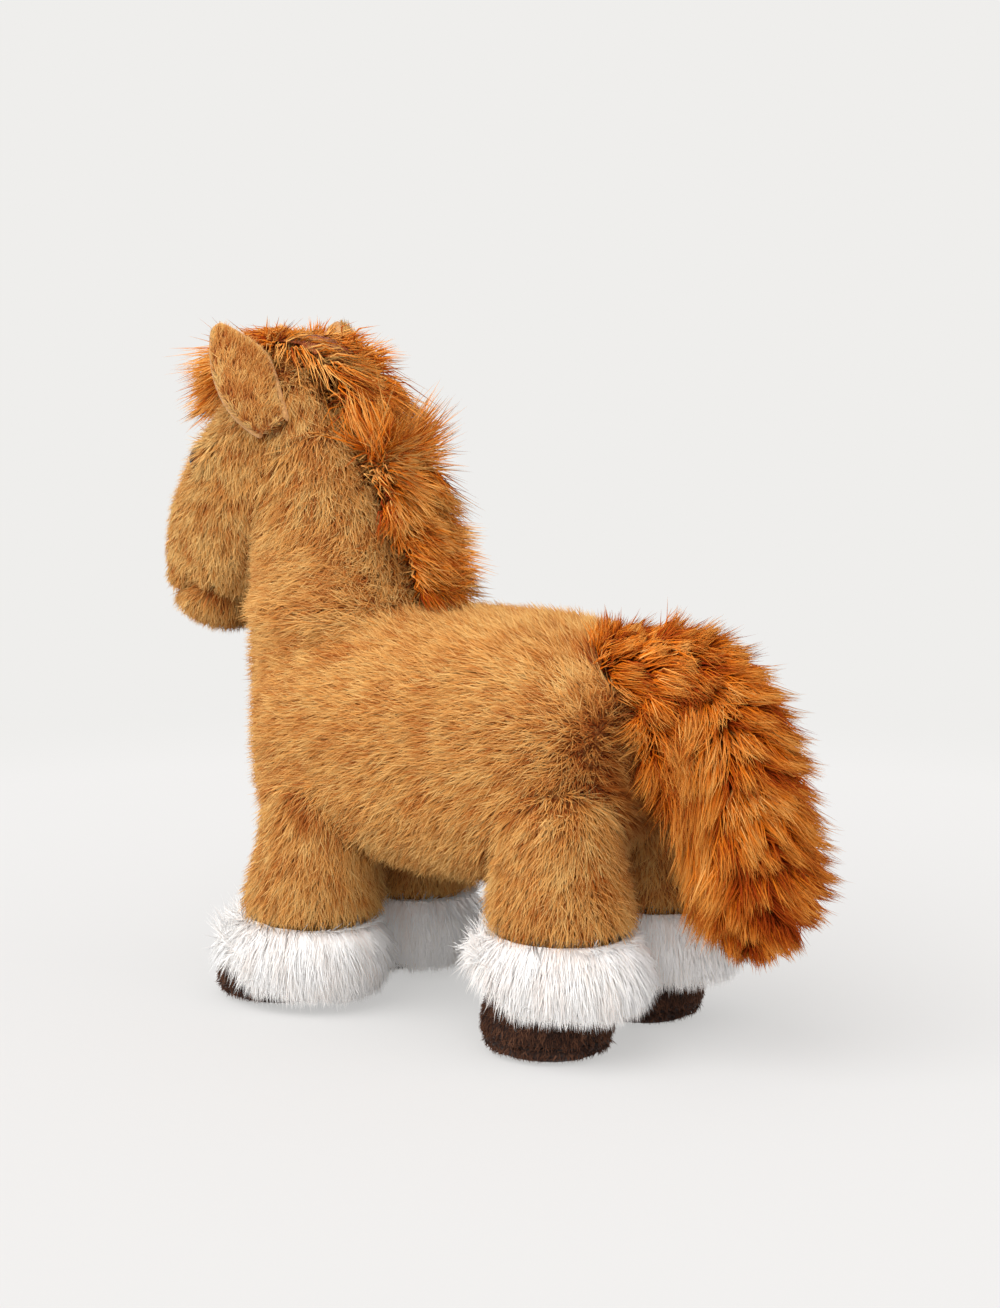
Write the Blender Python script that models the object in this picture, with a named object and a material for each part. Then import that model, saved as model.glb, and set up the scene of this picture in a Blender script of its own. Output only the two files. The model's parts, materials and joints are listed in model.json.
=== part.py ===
# Plush horse, about 27 cm tall, standing on four stuffed legs.
# Metres, +Z up. The horse faces -Y and its left side is +X. The origin is on the
# floor under the middle of its outline. Every outer face is the middle of the pile.
import math

import bpy
import bmesh
from mathutils import Matrix, Vector

# Cloth, seams and clearances
SKIN_THICK = 0.0055
SEAM_GAP = 0.0003
FILL_ROOM = 0.0006
HIP_ROOM = 0.0007
NECK_ROOM = 0.0006
OVERRUN = 0.004
SLIT_WIDE = 0.0024

# Body
BARREL_LENGTH = 0.179
BARREL_WIDTH = 0.108
BARREL_HEIGHT = 0.103
BARREL_MID_Y = -0.006
BARREL_MID_Z = 0.1078
BELLY_SLIT_LENGTH = 0.056
NECK_AXIS_Y = -0.061
NECK_BASE_RADIUS = 0.040
CHEST_FOOT_Z = 0.066
NECK_SEAT_Z = 0.156

# Neck
NECK_HEIGHT = 0.068
NECK_LEAN = 0.013
NECK_MOUTH_RADIUS = 0.013

# Head
HEAD_PIVOT_Y = -0.0867
HEAD_PIVOT_Z = 0.228
POLL_RADIUS = 0.031
HEAD_LENGTH = 0.106
HEAD_WIDTH = 0.066
HEAD_DEPTH = 0.064
HEAD_SLIT_LENGTH = 0.020

# Eyes
EYE_RADIUS = 0.0055
EYE_DOME = 0.0042
EYE_ALONG_SHARE = 0.45
EYE_TURN = math.radians(-40)
EYE_SINK = 0.0016
EYE_STEM_RADIUS = 0.0015
WASHER_RADIUS = 0.0062
WASHER_THICK = 0.0014

# Ears
EAR_LENGTH = 0.041
EAR_WIDTH = 0.027
EAR_BACK_THICK = 0.0050
EAR_LINING_THICK = 0.0022
EAR_BASE = Vector((0.0290, -0.0780, 0.2335))
EAR_ACROSS_SHARES = Vector((0.80, -0.30, -0.38))
EAR_UP_SHARES = Vector((0.19, -0.53, 0.83))
EAR_CUP = 0.0040
EAR_ROOM = 0.0009
EAR_ROOT = 0.0050
EAR_FLOP = math.radians(12)

# Mane and forelock
MANE_WIDTH = 0.0290
MANE_DEPTH = 0.027
FORELOCK_WIDTH = 0.030
FORELOCK_DEPTH = 0.024

# Tail
TAIL_PIVOT_Y = 0.076
TAIL_PIVOT_Z = 0.143
TAIL_ROOT_RADIUS = 0.0165
TAIL_REACH = 0.055
TAIL_DROP = 0.106
TAIL_WIDTH = 0.052
TAIL_THICK = 0.050

# Legs
HIP_X = 0.0315
HIP_Y_FRONT = -0.0540
HIP_Y_HIND = 0.062
HIP_Z_FRONT = 0.0750
HIP_Z_HIND = 0.0800
LEG_RADIUS = 0.0260
HIP_BALL_RADIUS = 0.0225
LEG_FOOT_DEPTH = 0.0560
SEAM_Z_FRONT = 0.0385
SEAM_Z_HIND = 0.0505
SWING_FORWARD = math.radians(12)
SWING_BACK_FRONT = math.radians(12)
SWING_BACK_HIND = math.radians(5)

# Feet
CUFF_WIDTH = 0.0600
CUFF_DEPTH = 0.0740
CUFF_HEM_FRONT = 0.0100
CUFF_HEM_HIND = 0.0200
CUFF_TILT_FRONT = math.radians(11)
CUFF_TILT_HIND = math.radians(3)
CUFF_SHIFT_FRONT = -0.0045
CUFF_SHIFT_HIND = 0.0010
HOOF_WIDTH = 0.0480
HOOF_LENGTH = 0.0510
HOOF_TOP_FRONT = 0.0230
HOOF_TOP_HIND = 0.0300
HOOF_REACH_FRONT = 0.0220
HOOF_REACH_HIND = 0.005
SOLE_THICK = 0.0065

# The head's range, which its seat in the neck follows
NOD_UP = math.radians(10)
NOD_DOWN = math.radians(4)

# Finer rings outside, plainer rings inside
RING_COUNT = 20
CORE_COUNT = 12
FOOT_COUNT = 16

# Each row: place along the form, half width, half height, lift of the centre.
BARREL_SHARES = (
    (0.00, 0.94, 0.92, 0.020),
    (0.25, 0.96, 0.95, 0.010),
    (0.50, 0.99, 0.99, -0.004),
    (0.75, 1.00, 1.00, 0.010),
    (1.00, 0.98, 0.96, 0.030),
)
# Place up the column, half width, half depth, shift of the centre as a share of the lean.
NECK_SHARES = (
    (0.00, 1.00, 1.00, 0.00),
    (0.22, 0.955, 0.93, 0.16),
    (0.50, 0.865, 0.845, 0.43),
    (0.80, 0.77, 0.745, 0.80),
    (1.00, 0.70, 0.66, 1.00),
)
# Place along the head from the poll to the lips, reach, drop, half width, half depth.
HEAD_SHARES = (
    (0.00, -0.12, -0.19, 0.94, 0.90),
    (0.20, 0.00, -0.01, 0.99, 0.95),
    (0.40, 0.150, 0.19, 1.00, 0.93),
    (0.60, 0.307, 0.40, 0.93, 0.93),
    (0.80, 0.405, 0.60, 0.86, 0.845),
    (1.00, 0.425, 0.80, 0.84, 0.82),
)
# Place along the ear, half width, cup of the blade.
EAR_SHARES = (
    (0.00, 0.62, 0.90),
    (0.20, 0.92, 1.00),
    (0.42, 1.00, 0.90),
    (0.65, 0.84, 0.55),
    (0.85, 0.50, 0.20),
    (1.00, 0.10, 0.00),
)
# Place along the mane, set back from the neck's rear face, height up the neck, half sizes.
MANE_SHARES = (
    (0.00, 0.20, 0.065, 0.80, 0.84),
    (0.20, 0.16, 0.25, 0.96, 1.00),
    (0.50, 0.12, 0.52, 1.00, 1.00),
    (0.80, 0.06, 0.80, 1.00, 0.98),
    (1.00, 0.02, 0.97, 0.96, 0.94),
)
# Angle round the poll in right angles, distance from the pivot in poll radii, half sizes.
FORELOCK_SHARES = (
    (0.10, 1.06, 0.90, 0.80),
    (0.40, 0.99, 1.00, 1.00),
    (0.80, 0.90, 1.00, 1.06),
    (1.15, 1.00, 1.00, 1.04),
    (1.45, 1.16, 1.00, 1.00),
    (1.70, 1.32, 0.92, 0.90),
    (1.90, 1.34, 0.70, 0.64),
)
# Place along the tail, rearward reach, drop, half width, half thickness.
TAIL_SHARES = (
    (0.00, 0.00, 0.000, 0.50, 0.50),
    (0.10, 0.18, -0.045, 0.68, 0.66),
    (0.24, 0.42, 0.015, 0.86, 0.86),
    (0.42, 0.64, 0.210, 0.98, 1.00),
    (0.62, 0.80, 0.500, 1.00, 1.04),
    (0.82, 0.93, 0.780, 0.98, 1.02),
    (1.00, 1.00, 1.000, 0.84, 0.80),
)
# Place down the cuff, half width, half depth.
CUFF_SHARES = (
    (0.00, 0.86, 0.79),
    (0.10, 0.93, 0.90),
    (0.30, 1.00, 0.99),
    (0.60, 1.00, 1.00),
    (0.85, 0.96, 0.96),
    (1.00, 0.90, 0.90),
)
# Place up the hoof from the floor, half width, half length.
HOOF_SHARES = (
    (0.00, 0.74, 0.74),
    (0.05, 0.84, 0.84),
    (0.14, 0.94, 0.94),
    (0.28, 1.00, 1.00),
    (0.55, 1.00, 1.00),
    (0.80, 0.95, 0.94),
    (1.00, 0.86, 0.85),
)

FUR_TAN = (0.42, 0.225, 0.075, 1.0)
FUR_RUST = (0.46, 0.155, 0.030, 1.0)
FUR_WHITE = (0.86, 0.84, 0.82, 1.0)
PLUSH_BROWN = (0.045, 0.026, 0.018, 1.0)
EDGE_PALE = (0.62, 0.42, 0.22, 1.0)
FILL_WHITE = (0.88, 0.88, 0.88, 1.0)
EYE_BLACK = (0.010, 0.008, 0.007, 1.0)
WASHER_CLEAR = (0.80, 0.80, 0.80, 1.0)

SIDES = (("left", 1), ("right", -1))
ENDS = ("front", "hind")


def clear_scene():
    for old in list(bpy.data.objects):
        bpy.data.objects.remove(old, do_unlink=True)


def material(name, colour, roughness, metallic=0.0):
    made = bpy.data.materials.get(name)
    if made:
        return made
    made = bpy.data.materials.new(name)
    made.use_nodes = True
    shader = made.node_tree.nodes["Principled BSDF"]
    shader.inputs["Base Color"].default_value = colour
    shader.inputs["Roughness"].default_value = roughness
    shader.inputs["Metallic"].default_value = metallic
    return made


def carrier(name, place, parent):
    made = bpy.data.objects.new(name, None)
    bpy.context.scene.collection.objects.link(made)
    made.parent = parent
    made.location = Vector(place)
    return made


def world_place(holder):
    place = Vector((0.0, 0.0, 0.0))
    while holder:
        place += holder.location
        holder = holder.parent
    return place


def eased(rows, t):
    # A smooth curve through the rows, read at t.
    last = len(rows) - 2
    i = 0
    while i < last and t > rows[i + 1][0]:
        i += 1
    here, there = rows[i], rows[i + 1]
    span = there[0] - here[0]
    s = (t - here[0]) / span
    values = []
    for c in range(1, len(here)):
        slope_a = (there[c] - here[c]) / span
        slope_b = slope_a
        if i > 0:
            slope_a = (there[c] - rows[i - 1][c]) / (there[0] - rows[i - 1][0])
        if i < last:
            slope_b = (rows[i + 2][c] - here[c]) / (rows[i + 2][0] - here[0])
        s2 = s * s
        s3 = s2 * s
        value = (2 * s3 - 3 * s2 + 1) * here[c] + (3 * s2 - 2 * s3) * there[c]
        value += ((s3 - 2 * s2 + s) * slope_a + (s3 - s2) * slope_b) * span
        values.append(value)
    return values


def rounded(t, power):
    # Half-size share of a form that closes at both ends.
    return max(0.0, 1.0 - abs(2.0 * t - 1.0) ** power) ** (1.0 / power)


def ring(centre, half_wide, half_deep, lean, count, power=2.2):
    # A squarish oval across X and a direction leaned up from Y.
    deep = Vector((0.0, math.cos(lean), math.sin(lean)))
    across = Vector((1.0, 0.0, 0.0))
    points = []
    for k in range(count):
        turn = 2.0 * math.pi * k / count
        c, s = math.cos(turn), math.sin(turn)
        x = math.copysign(abs(c) ** (2.0 / power), c) * half_wide
        d = math.copysign(abs(s) ** (2.0 / power), s) * half_deep
        points.append(Vector(centre) + across * x + deep * d)
    return points


def long_ring(centre, half_wide, front, rear, count):
    # Two half circles joined by straight sides, drawn outside the ring of the same count.
    grow = 1.0 / math.cos(math.pi / count)
    points = []
    for k in range(count):
        turn = 2.0 * math.pi * (k + 0.5) / count
        x = math.cos(turn) * half_wide * grow
        d = math.sin(turn) * half_wide * grow
        d += rear - half_wide if d > 0.0 else half_wide - front
        points.append(Vector(centre) + Vector((x, d, 0.0)))
    return points


def loft(name, rings, holder, look=None):
    mesh = bpy.data.meshes.new(name)
    base = world_place(holder)
    bm = bmesh.new()
    rows = [[bm.verts.new(p - base) for p in points] for points in rings]
    count = len(rows[0])
    for low, high in zip(rows, rows[1:]):
        for k in range(count):
            n = (k + 1) % count
            bm.faces.new((low[k], low[n], high[n], high[k]))
    bm.faces.new(rows[0])
    bm.faces.new(rows[-1])
    bmesh.ops.recalc_face_normals(bm, faces=bm.faces)
    bm.to_mesh(mesh)
    bm.free()
    return placed(name, mesh, holder, look)


def placed(name, mesh, holder, look=None):
    mesh.shade_smooth()
    made = bpy.data.objects.new(name, mesh)
    bpy.context.scene.collection.objects.link(made)
    made.parent = holder
    if look:
        mesh.materials.append(look)
    return made


def ball(name, place, radius, holder, count):
    mesh = bpy.data.meshes.new(name)
    bm = bmesh.new()
    spot = Matrix.Translation(Vector(place) - world_place(holder))
    turn = Matrix.Rotation(math.pi / 2.0, 4, "Y")
    bmesh.ops.create_uvsphere(bm, u_segments=count, v_segments=count // 2, radius=radius, matrix=spot @ turn)
    bm.to_mesh(mesh)
    bm.free()
    return placed(name, mesh, holder)


def seat_radius(radius, count):
    # A seat of flat facets that a ball of this radius turns in without touching.
    return radius / math.cos(math.pi / count)


def guide(piece):
    piece.hide_render = True
    piece.display_type = "WIRE"
    return piece


def apply_tool(piece, tool, operation, solver):
    step = piece.modifiers.new(tool.name, "BOOLEAN")
    step.operation = operation
    step.solver = solver
    step.object = guide(tool)
    return piece


def cut(piece, tool, solver="EXACT"):
    return apply_tool(piece, tool, "DIFFERENCE", solver)


def join(piece, tool, solver="EXACT"):
    return apply_tool(piece, tool, "UNION", solver)


def hip_place(side, end):
    if end == "front":
        return Vector((HIP_X * side, HIP_Y_FRONT, HIP_Z_FRONT))
    return Vector((HIP_X * side, HIP_Y_HIND, HIP_Z_HIND))


def foot_sizes(end):
    if end == "front":
        return SEAM_Z_FRONT, CUFF_HEM_FRONT, CUFF_SHIFT_FRONT, HOOF_TOP_FRONT, HOOF_REACH_FRONT
    return SEAM_Z_HIND, CUFF_HEM_HIND, CUFF_SHIFT_HIND, HOOF_TOP_HIND, HOOF_REACH_HIND


def shaft_sizes(end, z):
    # Half sizes of the upper leg, which leaves the hip ball and widens to the cuff.
    seam = foot_sizes(end)[0]
    hip_z = hip_place(1, end).z
    share = min(1.0, (hip_z - z) / (hip_z - seam))
    wide = HIP_BALL_RADIUS + (LEG_RADIUS - HIP_BALL_RADIUS) * math.sin(share * math.pi / 2.0)
    return wide, wide + (LEG_FOOT_DEPTH / 2.0 - LEG_RADIUS) * share * share


def swept_sizes(end, drop):
    # Half width, and reach fore and aft, of the swinging upper leg at a drop below the hip.
    hip_z = hip_place(1, end).z
    wide, deep = shaft_sizes(end, hip_z - drop)
    back = SWING_BACK_FRONT if end == "front" else SWING_BACK_HIND
    reaches = []
    for swing, way in ((SWING_FORWARD, -1.0), (back, 1.0)):
        along = (drop + deep * math.sin(swing)) / math.cos(swing)
        wide, deep_there = shaft_sizes(end, hip_z - along)
        edge = deep_there + way * foot_line(end, hip_z - along)
        reaches.append(edge * math.cos(swing) + along * math.sin(swing))
    return wide, reaches[0], reaches[1]


def foot_line(end, z):
    # How far the middle of the leg, cuff or hoof lies fore or aft of the hip at height z.
    seam, hem, shift, hoof_top, reach = foot_sizes(end)
    hip_z = hip_place(1, end).z
    if z >= seam:
        return shift * ((hip_z - z) / (hip_z - seam)) ** 2
    return shift - (reach + shift) * min(1.0, (1.0 - z / seam) * 1.3)


def count_for(inset):
    return CORE_COUNT if inset > 0.0 else RING_COUNT


# Barrel and chest

def barrel(name, inset, holder, look=None):
    rings = []
    steps = 9 if inset > 0.0 else 13
    length = BARREL_LENGTH - 2.0 * inset
    for i in range(steps):
        t = 0.5 - 0.5 * math.cos(math.pi * (i + 0.4) / (steps - 0.2))
        wide, high, lift = eased(BARREL_SHARES, t)
        close = rounded(t, 3.0)
        y = BARREL_MID_Y + (t - 0.5) * length
        z = BARREL_MID_Z + lift * BARREL_HEIGHT
        half_wide = (BARREL_WIDTH / 2.0 * wide - inset) * close
        half_high = (BARREL_HEIGHT / 2.0 * high - inset) * close
        rings.append(ring((0.0, y, z), half_wide, half_high, math.pi / 2.0, count_for(inset), 2.5))
    return loft(name, rings, holder, look)


def chest(name, inset, holder):
    # An upright round column under the neck that closes in a dome at the breast.
    rings = []
    radius = NECK_BASE_RADIUS - inset
    foot = CHEST_FOOT_Z + inset
    dome = radius * 0.55
    for i in range(3):
        turn = math.pi / 2.0 * (i + 0.55) / 3.0
        z = foot + dome * (1.0 - math.cos(turn))
        r = radius * math.sin(turn)
        rings.append(ring((0.0, NECK_AXIS_Y, z), r, r, 0.0, count_for(inset), 2.0))
    top = NECK_SEAT_Z - inset
    for share in (0.0, 0.5, 1.0):
        z = foot + dome + (top - foot - dome) * share
        rings.append(ring((0.0, NECK_AXIS_Y, z), radius, radius, 0.0, count_for(inset), 2.0))
    return loft(name, rings, holder)


def hip_room(name, side, end, inset, holder):
    # The space that the leg's round top and upper shaft sweep as the leg swings.
    hip = hip_place(side, end)
    room = HIP_ROOM + inset
    radius = HIP_BALL_RADIUS + room
    rings = []
    domes = 4
    for i in range(domes):
        turn = math.pi / 2.0 * (i + 0.4) / domes
        r = radius * math.sin(turn)
        spot = (hip.x, hip.y, hip.z + radius * math.cos(turn))
        rings.append(long_ring(spot, r, r, r, FOOT_COUNT))
    depth = hip.z - (BARREL_MID_Z - BARREL_HEIGHT / 2.0) + OVERRUN + inset
    for share in (0.0, 0.25, 0.5, 0.75, 1.0):
        wide, front, rear = swept_sizes(end, depth * share)
        spot = (hip.x, hip.y, hip.z - depth * share)
        rings.append(long_ring(spot, wide + room, front + room, rear + room, FOOT_COUNT))
    return loft(name, rings, holder)


def neck_room(name, inset, holder):
    # A round seat, so the neck can turn in it without touching the back.
    radius = NECK_BASE_RADIUS + NECK_ROOM + inset
    low = NECK_SEAT_Z - inset
    high = NECK_SEAT_Z + NECK_BASE_RADIUS / 2.0
    rings = [ring((0.0, NECK_AXIS_Y, z), radius, radius, 0.0, count_for(inset), 2.0) for z in (low, high)]
    return loft(name, rings, holder)


def body_core(name, inset, holder, look=None):
    core = barrel(name, inset, holder, look)
    join(core, chest(name + "_chest", inset, holder))
    cut(core, neck_room(name + "_neck_room", inset, holder))
    for label, side in SIDES:
        for end in ENDS:
            cut(core, hip_room(name + "_hip_" + end + "_" + label, side, end, inset, holder))
    radius = seat_radius(TAIL_ROOT_RADIUS + SEAM_GAP, CORE_COUNT) + inset
    cut(core, ball(name + "_tail_room", tail_pivot(), radius, holder, CORE_COUNT))
    return core


def box_tool(name, centre, size, holder):
    mesh = bpy.data.meshes.new(name)
    bm = bmesh.new()
    spot = Vector(centre) - world_place(holder)
    stretch = Matrix.Diagonal(Vector((size[0], size[1], size[2], 1.0)))
    bmesh.ops.create_cube(bm, size=1.0, matrix=Matrix.Translation(spot) @ stretch)
    bm.to_mesh(mesh)
    bm.free()
    made = bpy.data.objects.new(name, mesh)
    bpy.context.scene.collection.objects.link(made)
    made.parent = holder
    return made


def make_body(holder):
    skin = body_core("body_skin", 0.0, holder, material("tan_plush", FUR_TAN, 0.95))
    cut(skin, body_core("body_hollow", SKIN_THICK, holder))
    # The closing seam under the belly, through which the body is filled.
    low = BARREL_MID_Z - BARREL_HEIGHT / 2.0
    deep = SKIN_THICK + 2.0 * OVERRUN
    middle = (0.0, BARREL_MID_Y, low + deep / 2.0 - OVERRUN)
    cut(skin, box_tool("belly_slit", middle, (SLIT_WIDE, BELLY_SLIT_LENGTH, deep), holder))
    body_core("body_filling", SKIN_THICK + FILL_ROOM, holder, material("filling", FILL_WHITE, 1.0))


# Neck

def neck_column(name, inset, holder, look=None, foot=0.0):
    # foot carries the column on down, where it is used as a tool.
    rings = []
    low = NECK_SEAT_Z + SEAM_GAP + inset
    rows = 7
    for i in range(rows):
        t = i / (rows - 1.0)
        wide, deep, shift = eased(NECK_SHARES, t)
        z = low + (NECK_SEAT_Z + NECK_HEIGHT - inset - low) * t
        half_wide = NECK_BASE_RADIUS * wide - inset
        half_deep = NECK_BASE_RADIUS * deep - inset
        spot = (0.0, NECK_AXIS_Y - NECK_LEAN * shift, z)
        rings.append(ring(spot, half_wide, half_deep, 0.0, count_for(inset), 2.0))
    for turn in (math.radians(35), math.radians(65)):
        z = NECK_SEAT_Z + NECK_HEIGHT - inset + half_deep * 0.30 * math.sin(turn)
        spot = (0.0, NECK_AXIS_Y - NECK_LEAN, z)
        close = math.cos(turn)
        rings.append(ring(spot, half_wide * close, half_deep * close, 0.0, count_for(inset), 2.0))
    if foot:
        rings.insert(0, [p - Vector((0.0, 0.0, foot)) for p in rings[0]])
    return loft(name, rings, holder, look)


def turned(tool, angle, axis):
    # Turns a tool about its holder's place, to cut what the joint sweeps.
    tool.rotation_mode = "AXIS_ANGLE"
    tool.rotation_axis_angle = (angle, axis[0], axis[1], axis[2])
    return tool


def head_pivot():
    return Vector((0.0, HEAD_PIVOT_Y, HEAD_PIVOT_Z))


def tail_pivot():
    return Vector((0.0, TAIL_PIVOT_Y, TAIL_PIVOT_Z))


def neck_core(name, inset, holder, look=None):
    core = neck_column(name, inset, holder, look)
    count = count_for(inset)
    radius = seat_radius(POLL_RADIUS + SEAM_GAP, count) + inset
    cut(core, ball(name + "_head_seat", head_pivot(), radius, holder, count))
    return core


def make_neck(holder):
    skin = neck_core("neck_skin", 0.0, holder, material("tan_plush", FUR_TAN, 0.95))
    cut(skin, neck_core("neck_hollow", SKIN_THICK, holder))
    low = NECK_SEAT_Z - OVERRUN
    high = NECK_SEAT_Z + SKIN_THICK + OVERRUN
    radius = NECK_MOUTH_RADIUS
    rings = [ring((0.0, NECK_AXIS_Y, z), radius, radius, 0.0, CORE_COUNT, 2.0) for z in (low, high)]
    cut(skin, loft("neck_mouth", rings, holder))
    neck_core("neck_filling", SKIN_THICK + FILL_ROOM, holder, material("filling", FILL_WHITE, 1.0))


# Head

def head_section(t, inset):
    # Middle, half sizes and lean of the head's outline at t, from the poll down to the lips.
    reach, drop, wide, deep = eased(HEAD_SHARES, t)
    near = eased(HEAD_SHARES, max(0.0, t - 0.03))
    far = eased(HEAD_SHARES, min(1.0, t + 0.03))
    lean = math.atan2(near[1] - far[1], near[0] - far[0]) + math.pi / 2.0
    middle = head_pivot() + Vector((0.0, -HEAD_LENGTH * reach, -HEAD_LENGTH * drop))
    close = rounded(t, 2.7)
    half_wide = (HEAD_WIDTH / 2.0 * wide - inset) * close
    half_deep = (HEAD_DEPTH / 2.0 * deep - inset) * close
    return middle, half_wide, half_deep, lean


def muzzle_and_cheeks(name, inset, holder, look=None):
    rings = []
    steps = 9 if inset > 0.0 else 13
    for i in range(steps):
        t = 0.5 - 0.5 * math.cos(math.pi * (i + 0.4) / (steps - 0.2))
        inner = 0.5 + (t - 0.5) * (1.0 - 2.0 * inset / HEAD_LENGTH)
        middle = head_section(inner, inset)[0]
        half_wide, half_deep, lean = head_section(t, inset)[1:]
        rings.append(ring(middle, half_wide, half_deep, lean, count_for(inset), 2.25))
    return loft(name, rings, holder, look)


def face_point(t, turn, side):
    # A place on the face, and the way that the face looks there.
    def at(t, turn):
        middle, half_wide, half_deep, lean = head_section(t, 0.0)
        deep = Vector((0.0, math.cos(lean), math.sin(lean)))
        x = math.cos(turn) ** (2.0 / 2.25) * half_wide
        d = math.copysign(abs(math.sin(turn)) ** (2.0 / 2.25), math.sin(turn)) * half_deep
        return middle + Vector((x, 0.0, 0.0)) + deep * d
    here = at(t, turn)
    facing = (at(t + 0.01, turn) - here).cross(at(t, turn + 0.01) - here).normalized()
    if facing.x < 0.0:
        facing = -facing
    mirror = Vector((side, 1.0, 1.0))
    return here * mirror, facing * mirror


def head_core(name, inset, holder, look=None):
    core = muzzle_and_cheeks(name, inset, holder, look)
    for number, angle in enumerate((NOD_UP, 0.0, -NOD_DOWN)):
        room = neck_column(name + "_neck_room_" + str(number), -(NECK_ROOM + inset), holder, None, OVERRUN)
        cut(core, turned(room, angle, (1.0, 0.0, 0.0)), "MANIFOLD")
    join(core, ball(name + "_poll", head_pivot(), POLL_RADIUS - inset, holder, count_for(inset)), "MANIFOLD")
    return core


def turned_disc(name, profile, spot, facing, holder, count, look=None):
    # profile rows are (distance along the axis, radius)
    mesh = bpy.data.meshes.new(name)
    bm = bmesh.new()
    turn = facing.to_track_quat("Z", "Y").to_matrix().to_4x4()
    move = Matrix.Translation(Vector(spot) - world_place(holder)) @ turn
    rows = []
    for along, radius in profile:
        row = []
        for k in range(count):
            a = 2.0 * math.pi * k / count
            row.append(bm.verts.new(move @ Vector((radius * math.cos(a), radius * math.sin(a), along))))
        rows.append(row)
    for low, high in zip(rows, rows[1:]):
        for k in range(count):
            n = (k + 1) % count
            bm.faces.new((low[k], low[n], high[n], high[k]))
    bm.faces.new(rows[0])
    bm.faces.new(rows[-1])
    bmesh.ops.recalc_face_normals(bm, faces=bm.faces)
    bm.to_mesh(mesh)
    bm.free()
    return placed(name, mesh, holder, look)


def eye_profile(grow):
    # A domed button on a stem that runs in through the cloth to the washer.
    rows = [(-SKIN_THICK - grow, EYE_STEM_RADIUS + grow)]
    rows.append((-EYE_SINK - grow, EYE_STEM_RADIUS + grow))
    rows.append((-EYE_SINK - grow, EYE_RADIUS + grow))
    for i in range(5):
        turn = math.pi / 2.0 * i / 4.6
        rows.append((EYE_DOME * math.sin(turn) + grow, (EYE_RADIUS + grow) * math.cos(turn)))
    return rows


def washer_profile(grow):
    inner = -SKIN_THICK - SEAM_GAP
    return [(inner - WASHER_THICK - grow, WASHER_RADIUS + grow), (inner + grow, WASHER_RADIUS + grow)]


def make_head(holder):
    skin = head_core("head_skin", 0.0, holder, material("tan_plush", FUR_TAN, 0.95))
    cut(skin, head_core("head_hollow", SKIN_THICK, holder))
    # The stuffing slit at the underside of the poll, hidden in the neck.
    tall = SKIN_THICK + 2.0 * OVERRUN
    middle = head_pivot() - Vector((0.0, 0.0, POLL_RADIUS - tall / 2.0 + OVERRUN))
    cut(skin, box_tool("head_slit", middle, (HEAD_SLIT_LENGTH, SLIT_WIDE, tall), holder))
    filling = head_core("head_filling", SKIN_THICK + FILL_ROOM, holder, material("filling", FILL_WHITE, 1.0))
    for label, side in SIDES:
        spot, facing = face_point(EYE_ALONG_SHARE, EYE_TURN, side)
        eye_look = material("eye_" + label, EYE_BLACK, 0.08)
        turned_disc("eye_" + label, eye_profile(0.0), spot, facing, holder, 14, eye_look)
        cut(skin, turned_disc("eye_seat_" + label, eye_profile(SEAM_GAP), spot, facing, holder, 12))
        washer_look = material("washer_" + label, WASHER_CLEAR, 0.4)
        turned_disc("eye_washer_" + label, washer_profile(0.0), spot, facing, holder, 12, washer_look)
        for piece in (skin, filling):
            tool_name = "washer_seat_" + label + "_" + piece.name
            cut(piece, turned_disc(tool_name, washer_profile(SEAM_GAP), spot, facing, holder, 12))


# Ears

def ear_axes(side):
    across = Vector((EAR_ACROSS_SHARES.x * side, EAR_ACROSS_SHARES.y, EAR_ACROSS_SHARES.z)).normalized()
    up = Vector((EAR_UP_SHARES.x * side, EAR_UP_SHARES.y, EAR_UP_SHARES.z))
    up = (up - across * up.dot(across)).normalized()
    out = across.cross(up) * side
    return across, up, out.normalized()


def ear_blade(name, side, face_low, face_high, holder, look):
    # A cupped leaf: both faces follow the same hollow, so the two layers lie together.
    across, up, out = ear_axes(side)
    base = Vector((EAR_BASE.x * side, EAR_BASE.y, EAR_BASE.z))
    rings = []
    steps = 7
    spans = 6
    for i in range(steps):
        t = i / (steps - 1.0)
        wide, cup = eased(EAR_SHARES, t)
        half = EAR_WIDTH / 2.0 * wide
        middle = base + up * ((EAR_LENGTH + EAR_ROOT) * t - EAR_ROOT)
        points = []
        for k in range(spans + 1):
            s = 1.0 - 2.0 * k / spans
            hollow = EAR_CUP * cup * (s * s - 0.5)
            edge = 1.0 - 0.55 * abs(s) ** 3
            level = face_low + (face_high - face_low) * (0.5 + 0.5 * edge)
            points.append(middle + across * (half * s) + out * (hollow + level))
        for k in range(spans + 1):
            s = -1.0 + 2.0 * k / spans
            hollow = EAR_CUP * cup * (s * s - 0.5)
            edge = 1.0 - 0.55 * abs(s) ** 3
            level = face_low + (face_high - face_low) * (0.5 - 0.5 * edge)
            points.append(middle + across * (half * s) + out * (hollow + level))
        rings.append(points)
    return loft(name, rings, holder, look)


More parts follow.
